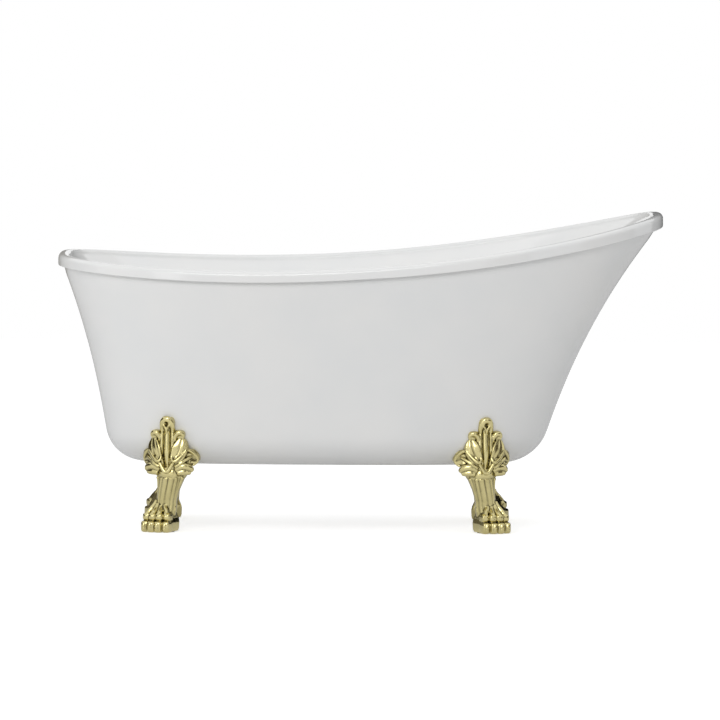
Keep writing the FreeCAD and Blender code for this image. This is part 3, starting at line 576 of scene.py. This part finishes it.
def addPaw(bm):
    start = set(bm.verts)
    drawRings(bm, 56, [blockRing(level, 0, halfWidth, front, back) for level, halfWidth, front, back in
                       ((2, 35, 48, 14), (10, 37, 50, 16), (24, 37.5, 48, 17), (34, 35.5, 44, 17),
                        (44, 31, 38, 16), (54, 26, 32, 14), (62, 23, 28, 12))])
    for number, x in enumerate(foot["toePlaces"]):
        back = 6 if number in (0, 3) else 0
        # toe with its claw, then the knuckle set back over it
        addBall(bm, (x, back - 49, 14.5), (9.8, 15.5, 14), 0.42)
        addTube(bm, [(x - 1, back - 59, 27, 3), (x - 1, back - 62.5, 20, 5.2), (x - 1, back - 63, 10, 5),
                     (x - 1, back - 62, 3.5, 3.6)])
        addBall(bm, (x * 0.97, back - 43, 38.5), (9.7, 13.5, 9.5), 0.55)
        addTube(bm, [(x * 0.97 - 1, back - 52, 32, 4), (x * 0.94 - 1, back - 52, 40, 5.6),
                     (x * 0.85, back - 44, 48.5, 6.6), (x * 0.68, -33, 57, 6.6), (x * 0.5, -26, 67, 5.4),
                     (x * 0.42, -20, 78, 4)])
    moved = [vert for vert in bm.verts if vert not in start]
    turned = Matrix.Rotation(math.radians(foot["pawTurn"]), 3, "Z")
    bmesh.ops.rotate(bm, verts=moved, cent=(0, 0, 0), matrix=turned)
    bmesh.ops.translate(bm, verts=moved, vec=(foot["pawShift"], 0, 0))


def hump(distance, width):
    return math.exp(-(distance / width) ** 2)


def addLeaf(bm):
    start = set(bm.verts)
    # body behind the blades
    drawRings(bm, 40, [blockRing(level, 0, halfWidth, front, back) for level, halfWidth, front, back in
                       ((146, 26, 42, 22), (160, 32, 40, 20), (180, 38, 36, 16), (205, 36, 36, 10),
                        (235, 27, 36, 5), (262, 15, 38, 3), (278, 11, 38, 2))])
    # central blade: a raised rib between two grooves, sunk into a pocket at its foot
    addSheet(bm, [(0, -42, 152, 11), (0, -45, 168, 14), (0, -51, 190, 17), (0, -51, 220, 19),
                  (0, -49, 246, 17), (0, -46, 266, 13)],
             lambda s, t, x: 3 * hump(x, 6) - 4 * hump(abs(x) - 8.5, 2) + 1.2 * hump(abs(x) - 14, 4)
             - 3 * s ** 6, 12)
    # finial that curls forward over a hollow
    for side in (-1, 1):
        addBall(bm, (side * 8.5, -40, 272), (10, 17, 15))
    addTube(bm, [(-13, -42, 248, 5), (-13.5, -46, 262, 6), (-10.5, -50, 274, 7.4), (-5, -52.5, 280.5, 8.2),
                 (0, -53, 281.5, 8.4), (5, -52.5, 280.5, 8.2), (10.5, -50, 274, 7.4), (13.5, -46, 262, 6),
                 (13, -42, 248, 5)])
    for side in (-1, 1):
        def mirrorPoints(points):
            return [(side * x, y, z, radius) for x, y, z, radius in points]
        addTube(bm, mirrorPoints([(10, -54, 273, 2.4), (5, -55, 264, 2.6), (1.5, -54, 257, 2.6),
                                  (0, -52, 248, 2)]))
        # upper curl round its hollow
        addBall(bm, (side * 29, -37, 243), (15, 11, 12), 0.8)
        addTube(bm, mirrorPoints([(18, -43, 226, 4), (20, -46, 238, 5.4), (27, -47.5, 247, 6.6),
                                  (35, -45.5, 247.5, 6.4), (40, -42, 241, 4.8), (37.5, -42, 234.5, 3.2)]))
        # broad middle blade
        addSheet(bm, mirrorPoints([(10, -46, 158, 5), (20, -51, 178, 13), (30, -50, 198, 19),
                                   (35, -47, 214, 18), (36, -43, 228, 12), (36, -41, 237, 3)]),
                 lambda s, t, x: 2.4 * (1 - s ** 2) - 1.6 * hump(s + 0.1, 0.12) + 1.5 * hump(s - 0.84, 0.12)
                 + 0.8 * hump(s - 0.4, 0.15), 14, (side * 0.42, -1, 0))
        # its lip, with an eye above
        addTube(bm, mirrorPoints([(13, -53, 194, 2.4), (15, -57.5, 181, 3.4), (23, -58, 178, 4),
                                  (34, -53, 187, 3.4), (48, -43, 204, 2.2)]))
        # widest blade, hollow between its two edges
        addSheet(bm, mirrorPoints([(12, -44, 155, 5), (28, -44, 168, 12), (44, -36, 184, 20),
                                   (56, -27, 188, 19), (65, -17, 182, 12), (69, -11, 177, 3)]),
                 lambda s, t, x: 1.5 - 3 * math.sin(math.pi * t) * hump(s - 0.15, 0.3)
                 - 1.6 * hump(s + 0.5, 0.14), 14, (side * 0.7, -1, 0))
        addTube(bm, mirrorPoints([(36, -42, 196, 2.4), (49, -34, 205, 4), (60, -24, 198, 4.6),
                                  (68, -13, 184, 4), (66, -12, 174, 3.6), (58, -20, 166, 3)]))
        addTube(bm, mirrorPoints([(20, -49, 163, 3), (35, -45.5, 173, 4), (50, -34, 184, 3.8),
                                  (58, -27, 188, 2)]))
        # ear at the foot of the leaf
        addTube(bm, mirrorPoints([(20, -42, 156, 6), (32, -41, 163, 8.2), (44, -36, 164.5, 9.4),
                                  (54, -29, 160, 8.6), (59, -24, 153, 5.4)]))
        addTube(bm, mirrorPoints([(24, -40, 148, 7), (36, -37, 150.5, 8.6), (47, -31, 150.5, 8.4),
                                  (55, -26, 149, 5.6)]))
        # pointed lip that gathers the leaf
        addTube(bm, mirrorPoints([(0, -57, 151, 5), (5, -57, 153.5, 5), (13, -55.5, 166, 4.4),
                                  (21, -54, 180, 3.6), (27, -52, 191, 1.8)]))
    moved = [vert for vert in bm.verts if vert not in start]
    bmesh.ops.translate(bm, verts=moved, vec=(foot["leafShift"], 0, 0))


def addLug(bm):
    # plate that bolts up under the tub, with its rounded end
    lug = bmesh.ops.create_cube(bm, size=1)["verts"]
    length = foot["lugLength"]
    bmesh.ops.scale(bm, verts=lug, vec=(foot["lugBreadth"], length, foot["lugThickness"]))
    bmesh.ops.translate(bm, verts=lug, vec=(0, length / 2, foot["lugMiddle"]))
    upright = [edge for vert in lug for edge in vert.link_edges
               if abs(edge.verts[0].co.z - edge.verts[1].co.z) > 1 and vert.co.y > length / 2]
    bmesh.ops.bevel(bm, geom=list(set(upright)), offset=foot["lugRound"], offset_type="OFFSET", segments=8,
                    profile=0.5, affect="EDGES", material=-1)
    # web between the lug and the back of the leg
    drawRings(bm, 20, [blockRing(level, 6, 9, front, back) for level, front, back in
                       ((100, 4, 14), (120, 4, 24), (140, 4, 44), (158, 4, 74))])


def markRecesses(thing):
    # how far a vertex lies below its smoothed surroundings: the mask of the casting's painted shade and
    # patina
    smooth = thing.modifiers.new("smooth", "SMOOTH")
    smooth.factor = 0.5
    smooth.iterations = foot["recessSmoothing"]
    bpy.context.view_layer.update()
    evaluated = thing.evaluated_get(bpy.context.evaluated_depsgraph_get())
    even = [vert.co.copy() for vert in evaluated.data.vertices]
    thing.modifiers.clear()
    recess = thing.data.attributes.new("recess", "FLOAT", "POINT")
    for vert, flat in zip(thing.data.vertices, even):
        depth = (flat - vert.co).dot(vert.normal) / mm / foot["recessDepth"]
        recess.data[vert.index].value = min(max(depth, 0), 1)


def footCutter():
    # the leveller's recess and bore in the sole, and the bolt holes in the lug
    bm = bmesh.new()
    radius, bore, recess = foot["recessRadius"], foot["studBore"], foot["recessHeight"]
    back = Vector((0, -foot["setBack"], 0))
    steps = ((radius, -5), (radius, recess), (bore, recess), (bore, foot["studBoreHeight"]))
    drawRings(bm, 48, [lambda turn, reach=reach, level=level: back + Vector(
        (reach * math.cos(turn), reach * math.sin(turn), level)) for reach, level in steps])
    for side in (-1, 1):
        hole = Matrix.Translation((side * foot["boltPitch"] / 2, foot["boltReach"], foot["boltMiddle"]))
        bmesh.ops.create_cone(bm, cap_ends=True, segments=24, radius1=foot["boltHole"],
                              radius2=foot["boltHole"], depth=foot["boltDrill"], matrix=hole)
    bmesh.ops.recalc_face_normals(bm, faces=bm.faces)
    toMetres(bm)
    return meshObject("foot_cutter", bm)


def fitToSkirt(bm, front):
    # nothing of the casting reaches into the skirt: it is pressed out towards the foot's front
    corner, bottom, gap = tub["skirtCorner"], tub["bottom"], foot["skirtGap"]
    for vert in bm.verts:
        point = vert.co / mm
        for repeat in range(foot["fitRepeats"]):
            if point.z <= bottom:
                break
            middle = middleAt(point.z)
            turn = math.atan2(point.y, point.x - middle)
            lean = (outline(turn + 0.01, point.z) - outline(turn - 0.01, point.z)).normalized()
            outward = Vector((lean.y, -lean.x, 0))
            inside = (outline(turn, point.z) - point).dot(outward)
            square = max(outward.dot(front), foot["leastSquare"])
            away = Vector((corner - inside, min(point.z - bottom - corner, 0)))
            if inside >= corner and point.z < bottom + corner:
                point.z = bottom - gap
            elif away.length < corner + gap:
                moved = away.normalized() * (corner + gap)
                point += front * (moved.x - away.x) / square
                point.z += moved.y - away.y
        vert.co = point * mm


def sculptFoot():
    bm = bmesh.new()
    addLeg(bm)
    addPaw(bm)
    addLeaf(bm)
    addLug(bm)
    bmesh.ops.recalc_face_normals(bm, faces=bm.faces)
    toMetres(bm)
    blank = meshObject("foot_pattern", bm)
    remesh = blank.modifiers.new("remesh", "REMESH")
    remesh.mode = "VOXEL"
    remesh.voxel_size = foot["voxel"] * mm
    smooth = blank.modifiers.new("smooth", "SMOOTH")
    smooth.factor = 0.5
    smooth.iterations = foot["smoothing"]
    bakeModifiers(blank)
    markRecesses(blank)
    combine(blank, footCutter(), "DIFFERENCE")
    print("scene: foot pattern", len(blank.data.polygons), "faces")
    return blank


# materials

acrylic = {
    "ior": 1.49,
    "colours": ((0.3, "#F0F1F1"), (0.7, "#F4F4F3")),
    "cloudScale": 6,
    "roughness": (0.07, 0.11),
    "waveScale": 14,
    "waveDepth": 0.002,
    "waveStrength": 0.05,
}
casting = {
    "colours": ((0.35, "#C6BB86"), (0.65, "#D2C792")),
    # painted shade and patina in the casting's recesses
    "shadeAndPatinaColour": "#2E2610",
    "toneScale": 30,
    "roughness": (0.16, 0.4),   # polished faces, then recesses
    "grainScale": 220,
    "grainDepth": 0.0006,
    "grainStrength": 0.08,
}
plywood = {
    "roughness": 0.6,
    "faceColours": ((0.3, "#B98F5C"), (0.7, "#D8B785")),
    "edgeColours": ((0.45, "#8E6A40"), (0.55, "#CFAE7C")),
    "grainStretch": (1.5, 22, 22),
    "plyThickness": 0.0028,
    "reliefDepth": 0.0004,
    "reliefStrength": 0.2,
}
fittings = {
    "toneScale": 40,
    "roughnessSpread": 0.05,
    "grainDepth": 0.0003,
}


def addNoise(tree, vector, scale, detail):
    return addNode(tree, "ShaderNodeTexNoise", {"Vector": vector, "Scale": scale, "Detail": detail})


def addRange(tree, value, low, high):
    return addNode(tree, "ShaderNodeMapRange", {"Value": value, "To Min": low, "To Max": high})


def addBump(tree, height, strength, distance):
    return addNode(tree, "ShaderNodeBump", {"Height": height, "Strength": strength, "Distance": distance})


def acrylicMaterial():
    # cast acrylic sheet, vacuum formed and polished: white, hard gloss, the faintest waviness
    material, tree, shader = newMaterial("glossyAcrylic")
    shader.inputs["IOR"].default_value = acrylic["ior"]
    place = addNode(tree, "ShaderNodeTexCoord").outputs["Object"]
    clouds = addNoise(tree, place, acrylic["cloudScale"], 2)
    colours = addNode(tree, "ShaderNodeValToRGB", {"Fac": clouds.outputs["Fac"]})
    setRamp(colours, acrylic["colours"])
    tree.links.new(colours.outputs["Color"], shader.inputs["Base Color"])
    gloss = addRange(tree, clouds.outputs["Fac"], *acrylic["roughness"])
    tree.links.new(gloss.outputs["Result"], shader.inputs["Roughness"])
    waves = addNoise(tree, place, acrylic["waveScale"], 1)
    bump = addBump(tree, waves.outputs["Fac"], acrylic["waveStrength"], acrylic["waveDepth"])
    tree.links.new(bump.outputs["Normal"], shader.inputs["Normal"])
    return material


def castGoldMaterial():
    # brass-tone plate over a polished casting: pale champagne, darker in its recesses, partly patina where
    # the polishing wheel can't reach and partly painted shade
    material, tree, shader = newMaterial("polishedGoldCasting")
    shader.inputs["Metallic"].default_value = 1.0
    place = addNode(tree, "ShaderNodeTexCoord").outputs["Object"]
    tone = addNoise(tree, place, casting["toneScale"], 4)
    colours = addNode(tree, "ShaderNodeValToRGB", {"Fac": tone.outputs["Fac"]})
    setRamp(colours, casting["colours"])
    # painted shade and patina: recesses darkened towards a dark brown
    recess = addNode(tree, "ShaderNodeAttribute", attribute_name="recess")
    shadeAndPatina = addNode(tree, "ShaderNodeMix", data_type="RGBA")
    tree.links.new(recess.outputs["Fac"], shadeAndPatina.inputs["Factor"])
    tree.links.new(colours.outputs["Color"], shadeAndPatina.inputs[6])
    shadeAndPatina.inputs[7].default_value = linearColour(casting["shadeAndPatinaColour"])
    tree.links.new(shadeAndPatina.outputs[2], shader.inputs["Base Color"])
    gloss = addRange(tree, recess.outputs["Fac"], *casting["roughness"])
    tree.links.new(gloss.outputs["Result"], shader.inputs["Roughness"])
    grain = addNoise(tree, place, casting["grainScale"], 3)
    bump = addBump(tree, grain.outputs["Fac"], casting["grainStrength"], casting["grainDepth"])
    tree.links.new(bump.outputs["Normal"], shader.inputs["Normal"])
    return material


whiteAcrylic = acrylicMaterial()
goldCasting = castGoldMaterial()

skirt = finishPiece(makeSkirt(), "tub", whiteAcrylic, ("outer_skirt",))
basin = finishPiece(makeBasin(), "tub", whiteAcrylic, ("basin",))
print("scene: shells made")

pattern = sculptFoot()
for end in ("tap", "head"):
    x, y, turn, hand = corners[end + "_near"]
    bm = bmesh.new()
    bm.from_mesh(pattern.data)
    bmesh.ops.scale(bm, verts=bm.verts, vec=(hand, 1, 1))
    turned = Matrix.Rotation(math.radians(turn), 3, "Z")
    bmesh.ops.rotate(bm, verts=bm.verts, cent=(0, 0, 0), matrix=turned)
    bmesh.ops.translate(bm, verts=bm.verts, vec=(x * mm, y * mm, 0))
    fitToSkirt(bm, turned @ Vector((0, -1, 0)))
    # the far foot is the near one's mirror image
    for side, across in (("near", 1), ("far", -1)):
        corner = end + "_" + side
        bmesh.ops.scale(bm, verts=bm.verts, vec=(1, across, 1))
        bmesh.ops.recalc_face_normals(bm, faces=bm.faces)
        claw = meshObject("cast_foot_" + corner, bm.copy())
        finishPiece(claw, "tub", goldCasting, ("claw_foot_" + corner,), 60)
    bm.free()
bpy.data.objects.remove(pattern)
print("scene: feet placed")


# fittings kept from the frame

def finishMaterial(name, low, high, metallic, roughness, grain, bump):
    # mottled colour and gloss with a fine surface grain; grain is its size in millimetres
    material, tree, shader = newMaterial(name)
    shader.inputs["Metallic"].default_value = metallic
    place = addNode(tree, "ShaderNodeTexCoord").outputs["Object"]
    tone = addNoise(tree, place, fittings["toneScale"], 3)
    colours = addNode(tree, "ShaderNodeValToRGB", {"Fac": tone.outputs["Fac"]})
    setRamp(colours, ((0.3, low), (0.7, high)))
    tree.links.new(colours.outputs["Color"], shader.inputs["Base Color"])
    spread = fittings["roughnessSpread"]
    gloss = addRange(tree, tone.outputs["Fac"], roughness - spread, roughness + spread)
    tree.links.new(gloss.outputs["Result"], shader.inputs["Roughness"])
    fine = addNoise(tree, place, 1 / (grain * mm), 2)
    relief = addBump(tree, fine.outputs["Fac"], bump, fittings["grainDepth"])
    tree.links.new(relief.outputs["Normal"], shader.inputs["Normal"])
    return material


def plywoodMaterial():
    # exterior birch plywood: long grain on the faces, thin plies in the edges
    material, tree, shader = newMaterial("birchPlywood")
    shader.inputs["Roughness"].default_value = plywood["roughness"]
    place = addNode(tree, "ShaderNodeTexCoord").outputs["Object"]
    stretched = addNode(tree, "ShaderNodeMapping", {"Vector": place, "Scale": plywood["grainStretch"]})
    grain = addNoise(tree, stretched.outputs["Vector"], 5, 6)
    face = addNode(tree, "ShaderNodeValToRGB", {"Fac": grain.outputs["Fac"]})
    setRamp(face, plywood["faceColours"])
    ply = plywood["plyThickness"]
    parts = addNode(tree, "ShaderNodeSeparateXYZ", {"Vector": place})
    plies = addNode(tree, "ShaderNodeMath", {0: parts.outputs["Z"], 1: ply}, operation="PINGPONG")
    share = addNode(tree, "ShaderNodeMapRange", {"Value": plies.outputs[0], "From Max": ply})
    edge = addNode(tree, "ShaderNodeValToRGB", {"Fac": share.outputs["Result"]})
    setRamp(edge, plywood["edgeColours"])
    surface = addNode(tree, "ShaderNodeNewGeometry")
    normal = addNode(tree, "ShaderNodeSeparateXYZ", {"Vector": surface.outputs["Normal"]}).outputs["Z"]
    flat = addNode(tree, "ShaderNodeMath", {0: normal, 1: normal}, operation="MULTIPLY")
    both = addNode(tree, "ShaderNodeMix", data_type="RGBA")
    tree.links.new(flat.outputs[0], both.inputs["Factor"])
    tree.links.new(edge.outputs["Color"], both.inputs[6])
    tree.links.new(face.outputs["Color"], both.inputs[7])
    tree.links.new(both.outputs[2], shader.inputs["Base Color"])
    relief = addBump(tree, grain.outputs["Fac"], plywood["reliefStrength"], plywood["reliefDepth"])
    tree.links.new(relief.outputs["Normal"], shader.inputs["Normal"])
    return material


finishes = {
    "white_acrylic": whiteAcrylic,
    "gold_casting": goldCasting,
    "plywood": plywoodMaterial(),
    "frame_steel": finishMaterial("powderCoatedSteel", "#25282A", "#303437", 0.0, 0.5, 1.2, 0.3),
    "zinc_steel": finishMaterial("zincPlatedSteel", "#A4A8AB", "#BDBFC0", 1.0, 0.32, 0.6, 0.15),
    "pad_nylon": finishMaterial("blackNylon", "#141415", "#1E1E1F", 0.0, 0.55, 0.8, 0.25),
    "black_rubber": finishMaterial("blackRubber", "#0F0F10", "#19191A", 0.0, 0.8, 0.7, 0.3),
    "raw_brass": finishMaterial("drawnBrass", "#B08A45", "#C8A561", 1.0, 0.3, 0.5, 0.15),
    "gold_brass": finishMaterial("goldPlatedBrass", "#C0B684", "#CEC494", 1.0, 0.14, 0.8, 0.05),
}
for entry in frame["record"]["subparts"]:
    node = frame["nodes"][entry["node"]]
    node.data.materials.clear()
    node.data.materials.append(finishes[entry["material_slot"]])
print("scene: fittings finished")


# floor, light and camera

stage = {
    "floorColour": "#E6E6E6",
    "floorHalfSize": 7,
    "floorGlow": 0.62,          # towards the camera, so that the paper reads white
    # painted reflection light: the floor glows only in reflections, strong in front of the tub and faint
    # behind it
    "floorReflectionGlow": 0.38,         # the same in reflections, in front of the tub
    "floorReflectionGlowBehind": 0.03,
    "reflectionGlowFade": 0.6,           # how far before and behind the middle it fades
    "floorRoughness": 0.9,
    "floorSheen": 0.1,
    "ambientColour": "#F7F7F7",
    "ambient": 0.52,
    "flagReach": 5.0,
    "flagHeight": 3.2,
    # each flag or softbox: middle direction and width in degrees as seen from the tub, colour, strength
    "flags": {
        "flagRight": (31, 56, "#080808", 1.0),
        "flagLeft": (-39, 62, "#6F6B63", 1.0),
        "flagLeftFront": (-88, 40, "#47433B", 1.0),
        "flagRightFront": (112, 44, "#6A655A", 1.0),
        "softboxLeft": (-152, 10, "#FFFFFF", 2.4),
        "flagFront": (160, 12, "#857F70", 1.0),
    },
    # each lamp: where it hangs, what it aims at, its size, its watts, and whether it shows in reflections
    "lamps": {
        "keyLamp": ((-1.2, -5.3, 3.4), (0, 0, 0.4), 3.0, 84, True),
        "topLamp": ((0.3, 0.2, 4.2), (0, 0, 0.4), 3.5, 26, True),
        "fillLeft": ((-4.2, -1.4, 1.3), (-0.7, 0, 0.55), 2.0, 22, False),
        "fillRight": ((4.2, -1.4, 1.3), (0.7, 0, 0.6), 2.0, 7, False),
    },
}


def brighterOf(tree, first, second):
    return addNode(tree, "ShaderNodeMath", {0: first, 1: second}, operation="MAXIMUM").outputs[0]


def paperMaterial():
    # matt studio paper that reads as white to the camera and still takes the shadow
    material, tree, shader = newMaterial("studioPaper")
    shader.inputs["Base Color"].default_value = linearColour(stage["floorColour"])
    shader.inputs["Roughness"].default_value = stage["floorRoughness"]
    shader.inputs["Specular IOR Level"].default_value = stage["floorSheen"]
    path = addNode(tree, "ShaderNodeLightPath")
    place = addNode(tree, "ShaderNodeTexCoord")
    spot = addNode(tree, "ShaderNodeSeparateXYZ", {"Vector": place.outputs["Object"]})
    # painted reflection light: in reflections only, the paper glows, strong in front of the tub and fading
    # to faint behind it
    reflectionGlowFalloff = addNode(tree, "ShaderNodeMapRange", {
        "Value": spot.outputs["Y"], "From Min": -stage["reflectionGlowFade"], "From Max": stage["reflectionGlowFade"],
        "To Min": stage["floorReflectionGlow"], "To Max": stage["floorReflectionGlowBehind"]}).outputs["Result"]
    gloss = addNode(tree, "ShaderNodeMath", {0: path.outputs["Is Glossy Ray"], 1: reflectionGlowFalloff},
                    operation="MULTIPLY")
    glow = addNode(tree, "ShaderNodeMath", {0: path.outputs["Is Camera Ray"], 1: stage["floorGlow"],
                                            2: gloss.outputs[0]}, operation="MULTIPLY_ADD")
    light = addNode(tree, "ShaderNodeEmission", {"Color": (1, 1, 1, 1), "Strength": glow.outputs[0]})
    both = addNode(tree, "ShaderNodeAddShader", {0: shader.outputs[0], 1: light.outputs[0]})
    tree.links.new(both.outputs[0], tree.nodes["Material Output"].inputs["Surface"])
    return material


def flagMaterial(name, hexCode, strength):
    # glowing plane seen only in reflections: a painted reflection of a studio flag's felt or a softbox's
    # cloth, a streak in polished surfaces
    material, tree, shader = newMaterial(name)
    shader.inputs["Base Color"].default_value = linearColour(hexCode)
    shader.inputs["Roughness"].default_value = 1.0
    shader.inputs["Specular IOR Level"].default_value = 0.0
    light = addNode(tree, "ShaderNodeEmission", {"Color": linearColour(hexCode), "Strength": strength})
    tree.links.new(light.outputs[0], tree.nodes["Material Output"].inputs["Surface"])
    return material


bm = bmesh.new()
bmesh.ops.create_grid(bm, x_segments=4, y_segments=4, size=stage["floorHalfSize"])
floor = meshObject("floor", bm)
floor.data.materials.append(paperMaterial())

# painted reflections: glowing planes seen only in polished surfaces, dark for the flags and bright for the
# softbox
for name, (direction, width, hexCode, strength) in stage["flags"].items():
    reach, height = stage["flagReach"], stage["flagHeight"]
    bm = bmesh.new()
    bmesh.ops.create_grid(bm, x_segments=1, y_segments=1, size=0.5)
    bmesh.ops.scale(bm, verts=bm.verts, vec=(2 * reach * math.tan(math.radians(width / 2)), height, 1))
    bmesh.ops.rotate(bm, verts=bm.verts, matrix=Matrix.Rotation(math.radians(90), 3, "X"))
    bmesh.ops.translate(bm, verts=bm.verts, vec=(0, reach, height / 2))
    bmesh.ops.rotate(bm, verts=bm.verts, matrix=Matrix.Rotation(math.radians(-direction), 3, "Z"))
    flag = meshObject(name, bm)
    flag.data.materials.append(flagMaterial(name, hexCode, strength))
    flag.visible_camera = flag.visible_diffuse = flag.visible_shadow = flag.visible_transmission = False

world = bpy.data.worlds.new("studio")
bpy.context.scene.world = world
world.use_nodes = True
tree = world.node_tree
tree.nodes.clear()
path = addNode(tree, "ShaderNodeLightPath")
seen = brighterOf(tree, brighterOf(tree, path.outputs["Is Camera Ray"], path.outputs["Is Glossy Ray"]),
                  path.outputs["Is Transmission Ray"])
ambient = addNode(tree, "ShaderNodeBackground", {"Color": linearColour(stage["ambientColour"]),
                                                 "Strength": stage["ambient"]})
backdrop = addNode(tree, "ShaderNodeBackground", {"Color": (1, 1, 1, 1), "Strength": 1.0})
mixed = addNode(tree, "ShaderNodeMixShader", {0: seen, 1: ambient.outputs[0], 2: backdrop.outputs[0]})
addNode(tree, "ShaderNodeOutputWorld", {"Surface": mixed.outputs[0]})

for name, (place, aim, size, power, glossy) in stage["lamps"].items():
    lamp = bpy.data.lights.new(name, "AREA")
    lamp.shape = "DISK"
    lamp.size = size
    lamp.energy = power
    thing = bpy.data.objects.new(name, lamp)
    bpy.context.scene.collection.objects.link(thing)
    thing.location = place
    thing.rotation_euler = (Vector(aim) - Vector(place)).to_track_quat("-Z", "Y").to_euler()
    thing.visible_glossy = glossy

view = {
    "distance": 30.0,
    "aimHeight": 0.413,
    "rimHeight": 0.655,
    "rimSlope": 0.0593,         # how steeply the camera looks down on the rim
    "roll": 0.35,
    "lens": 605,
    "sensor": 36,
}
camera = bpy.data.objects.new("camera", bpy.data.cameras.new("camera"))
bpy.context.scene.collection.objects.link(camera)
bpy.context.scene.camera = camera
camera.data.lens = view["lens"]
camera.data.sensor_width = view["sensor"]
camera.data.clip_end = 200
camera.location = (0, -view["distance"], view["rimHeight"] + view["rimSlope"] * view["distance"])
sight = Vector((0, 0, view["aimHeight"])) - camera.location
roll = Matrix.Rotation(math.radians(view["roll"]), 3, "Z").to_quaternion()
camera.rotation_euler = (sight.to_track_quat("-Z", "Y") @ roll).to_euler()

bpy.context.scene.view_settings.view_transform = "Standard"
